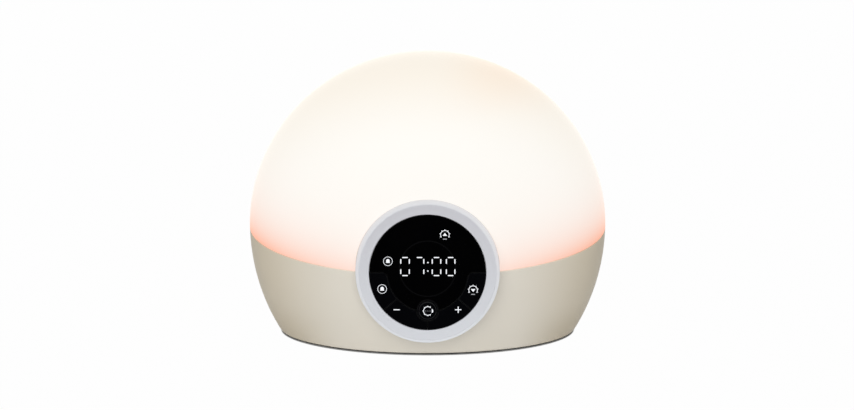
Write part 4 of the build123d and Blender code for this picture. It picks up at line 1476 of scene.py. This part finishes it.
def board(name, dark, light, up=(0, 1, 0), copper=0.6):
    """Lacquer over copper traces, with tinned dots, drawn across x and a second direction."""
    finish = Finish(name)
    x, y, z = finish.coordinates()
    across = y * up[1] + z * up[2]
    run = finish.noise(8).fade(0.47, 0.53)

    def lines(position, pitch):
        return 1.0 - abs((position / pitch).maths("FRACT") - 0.5).fade(0.10, 0.20)

    traces = lines(x, 1.6) * run + lines(across, 1.6) * (1.0 - run)
    traces = traces * finish.noise(5).fade(0.42, 0.50)
    spots = finish.node("ShaderNodeTexVoronoi", {"Vector": finish.point, "Scale": 230.0})
    tin = 1.0 - spots.fade(0.10, 0.14)
    tone = finish.mix(finish.noise(20), dark, light)
    tone = finish.mix(traces * copper, tone, [min(1.0, 1.9 * part + 0.02) for part in light])
    return finish.surface(
        Base_Color=finish.mix(tin, tone, (0.62, 0.61, 0.58)),
        Metallic=tin,
        Roughness=0.34 - traces * 0.08,
        Normal=finish.bump(traces * 0.6 + tin, 0.035),
    )


dress("main_board", board("green_board", (0.010, 0.085, 0.030), (0.018, 0.130, 0.048)))
dress("display_board", board("display_board", (0.002, 0.008, 0.004), (0.003, 0.012, 0.006),
                             HEAD_UP, 0.3))
dress("led_board", board("white_board", (0.74, 0.74, 0.72), (0.82, 0.82, 0.80), copper=0.25))

# %% Parts on the boards
LED_CASE_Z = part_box("led_board")[1].z / MM + 0.8
CAN_TOP_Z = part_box("smoothing_capacitors")[1].z / MM
INLET_Z = 17.0
PLUG_BORE_R = 2.9
WIRE_PITCH = 1.27


def sleeved_can():
    """An electrolytic capacitor: a dark sleeve with a pale stripe, and a bare aluminium top."""
    finish = Finish("capacitor_sleeve")
    _, y, z = finish.coordinates()
    top = z.fade(CAN_TOP_Z - 0.7, CAN_TOP_Z - 0.5)
    stripe = (y - BODY_Y - 12.0).fade(4.1, 4.3)
    sleeve = finish.mix(finish.noise(6), (0.018, 0.022, 0.048), (0.028, 0.033, 0.066))
    sleeve = finish.mix(stripe, sleeve, (0.55, 0.56, 0.58))
    return finish.surface(
        Base_Color=finish.mix(top, sleeve, (0.70, 0.71, 0.72)),
        Metallic=top,
        Roughness=finish.noise(1.5) * 0.1 + 0.26,
        Normal=finish.bump(finish.noise(0.8), 0.006),
    )


def led(name, resin, glow):
    """A surface lamp: a white case and a domed drop of phosphor above its rim."""
    finish = Finish(name)
    drop = finish.coordinates()[2].fade(LED_CASE_Z - 0.03, LED_CASE_Z + 0.02)
    case = finish.mix(finish.noise(0.7), (0.76, 0.75, 0.70), (0.86, 0.85, 0.80))
    return finish.surface(
        Base_Color=finish.mix(drop, case, resin),
        Roughness=finish.noise(0.9) * 0.1 + 0.25,
        Emission_Color=finish.mix(drop, (0, 0, 0), glow),
        Emission_Strength=1.0,
    )


def flat_cable(name, dark, light, axis, gloss):
    """Wires side by side under one skin: a groove between each two."""
    finish = Finish(name)
    position = finish.coordinates()[axis] / WIRE_PITCH
    groove = abs(position.maths("FRACT") - 0.5).fade(0.36, 0.49)
    tone = finish.mix(finish.noise(4), dark, light)
    return finish.surface(
        Base_Color=finish.mix(groove * 0.7, tone, [part * 0.35 for part in dark]),
        Roughness=finish.noise(1.2) * 0.1 + gloss,
        Normal=finish.bump(1.0 - groove, 0.15),
    )


def inlet():
    """The power inlet: a moulded black body round a bright bore and pin."""
    finish = Finish("inlet_nickel")
    x, _, z = finish.coordinates()
    bare = 1.0 - length(x, z - INLET_Z).fade(PLUG_BORE_R + 0.05, PLUG_BORE_R + 0.15)
    body = finish.mix(finish.noise(0.5), (0.012, 0.012, 0.012), (0.024, 0.024, 0.024))
    return finish.surface(
        Base_Color=finish.mix(bare, body, (0.66, 0.64, 0.58)),
        Metallic=bare,
        Roughness=finish.noise(0.6) * 0.12 + 0.30,
        Normal=finish.bump(finish.noise(0.4), 0.006),
    )


BLACK_SKIN = ((0.012, 0.012, 0.012), (0.022, 0.022, 0.022))
dress("smoothing_capacitors backup_capacitor", sleeved_can())
dress("white_leds", led("led_white", (0.86, 0.72, 0.16), (0.9, 0.86, 0.76)))
dress("amber_leds", led("led_amber", (0.90, 0.42, 0.06), (0.9, 0.38, 0.08)))
dress("indicator_leds", moulded("indicator_led", (0.80, 0.78, 0.60), (0.90, 0.88, 0.74), 0.25,
                                depth=0.002))
dress("display_ribbon", flat_cable("ribbon_grey", (0.34, 0.34, 0.35), (0.42, 0.42, 0.43), 0, 0.45))
dress("power_lead", flat_cable("power_lead", *BLACK_SKIN, 0, 0.40))
dress("led_lead", flat_cable("led_lead", *BLACK_SKIN, 1, 0.40))
dress("dc_inlet", inlet())
dress("heat_sink", bright_metal("sink_aluminium", (0.58, 0.59, 0.61), (0.74, 0.75, 0.77), 0.34,
                                stretch=(1, 40, 1), grain=0.2, depth=0.01))
dress("clock_crystal", bright_metal("crystal_can", (0.66, 0.66, 0.67), (0.80, 0.80, 0.81), 0.16))
dress("dc_inlet_nut", bright_metal("nut_nickel", (0.56, 0.54, 0.50), (0.70, 0.68, 0.63), 0.22))
dress("display_board_screws head_cover_screws head_screws led_board_screws tray_screws "
      "main_board_screws", STEEL)
shown = {name for name, node in frame["nodes"].items() if not node.hide_render}
print("CAD pieces dressed", len(dressed), "still plain", sorted(shown - dressed))

# %% [markdown]
# ## The studio
# A clock on a plain white sweep. A broad lamp lights it from the front and above, a low strip from
# the front lifts the ring's bevel and the foot, a weak lamp stands on each side and a stronger one
# behind, and the room adds its own fill. The gloss mirrors none of the lamps. The floor and the
# room look white to the camera and in reflections through the Light Path node, and give the clock
# no extra light for it. Only a narrow band round the bottom cover keeps its real shade, which is
# the clock's contact with the floor. A black flag stands low in front, out of the camera's sight,
# so that the face has something dark to mirror.

# %% Studio
FILL = 0.24
FLOOR_LIFT = 0.985
FLOOR_GREY = 0.54
FLOOR_REACH = 1.3
CONTACT = 1.6
FLAG_X = 0.20
FLAG_FOLDS = ((-0.16, 0.001), (-0.8, 0.001), (-0.8, 0.30))


def ray_is(tree, *kinds):
    """1 for light rays of any of these kinds, and 0 for the others."""
    first, *others = [tree.node("ShaderNodeLightPath", output=f"Is {kind} Ray") for kind in kinds]
    for other in others:
        first = first.maths("MAXIMUM", other)
    return first


def room():
    """A world that fills the clock with soft light and looks white to the camera."""
    world = bpy.data.worlds.new("room")
    world.use_nodes = True
    world.node_tree.nodes.clear()
    tree = Tree(world.node_tree.nodes, world.node_tree.links)
    strength = ray_is(tree, "Camera", "Glossy", "Transmission") * (1.0 - FILL) + FILL
    light = tree.node("ShaderNodeBackground", {"Color": (1, 1, 1, 1), "Strength": strength})
    tree.node("ShaderNodeOutputWorld", {"Surface": light})
    scene.world = world


def lamp(name, place, width, height, power):
    """A soft lamp that faces the clock, and that no gloss mirrors."""
    data = bpy.data.lights.new(name, "AREA")
    data.shape = "RECTANGLE"
    data.size, data.size_y, data.energy = width, height, power
    light = bpy.data.objects.new(name, data)
    scene.collection.objects.link(light)
    light.location = place
    light.rotation_euler = (CAMERA_TARGET - Vector(place)).to_track_quat("-Z", "Y").to_euler()
    light.visible_glossy = False


def white_floor():
    """A floor that is white where the camera sees it, and keeps the clock's shadow."""
    finish = Finish("white_floor")
    grey = (FLOOR_GREY, FLOOR_GREY, FLOOR_GREY, 1)
    shade = finish.node("ShaderNodeBsdfDiffuse", {"Color": grey})
    glow = finish.node("ShaderNodeEmission", {"Color": (1, 1, 1, 1), "Strength": 1.0})
    x, y, _ = finish.coordinates()
    away = length(x / (FLANGE[0] + CONTACT), (y - BODY_Y) / (FLANGE[1] + CONTACT))
    white = ray_is(finish, "Camera", "Glossy") * away.fade(0.995, 1.005)
    both = finish.node("ShaderNodeMixShader", {0: white * FLOOR_LIFT, 1: shade, 2: glow})
    finish.node("ShaderNodeOutputMaterial", {"Surface": both})
    return finish.material


def black_flag():
    """A matt black card low in front."""
    finish = Finish("black_flag")
    return finish.surface(Base_Color=(0.002, 0.002, 0.002), Roughness=0.9, Specular_IOR_Level=0.0)


def card(name, half_width, folds, material):
    """A card that isn't part of the clock, folded across at each (y, z)."""
    points = [(x, y, z) for y, z in folds for x in (-half_width, half_width)]
    faces = [(2 * i, 2 * i + 1, 2 * i + 3, 2 * i + 2) for i in range(len(folds) - 1)]
    piece = link_mesh(name, points, faces, material)
    return piece


room()
lamp("key_lamp", (-0.2, -1.7, 0.9), 1.8, 1.2, 21)
lamp("low_lamp", (0, -1.6, 0.02), 1.6, 0.3, 6)
lamp("left_lamp", (-1.6, -0.2, 0.8), 0.8, 1.2, 0.75)
lamp("right_lamp", (1.6, -0.2, 0.8), 0.8, 1.2, 1.1)
lamp("back_lamp", (0, 1.7, 0.9), 1.2, 0.8, 12)
card("floor", FLOOR_REACH, ((-FLOOR_REACH, 0), (FLOOR_REACH, 0)), white_floor())
flag = card("flag", FLAG_X, FLAG_FOLDS, black_flag())
flag.visible_camera = flag.visible_diffuse = flag.visible_shadow = False
scene.view_settings.view_transform = "Standard"
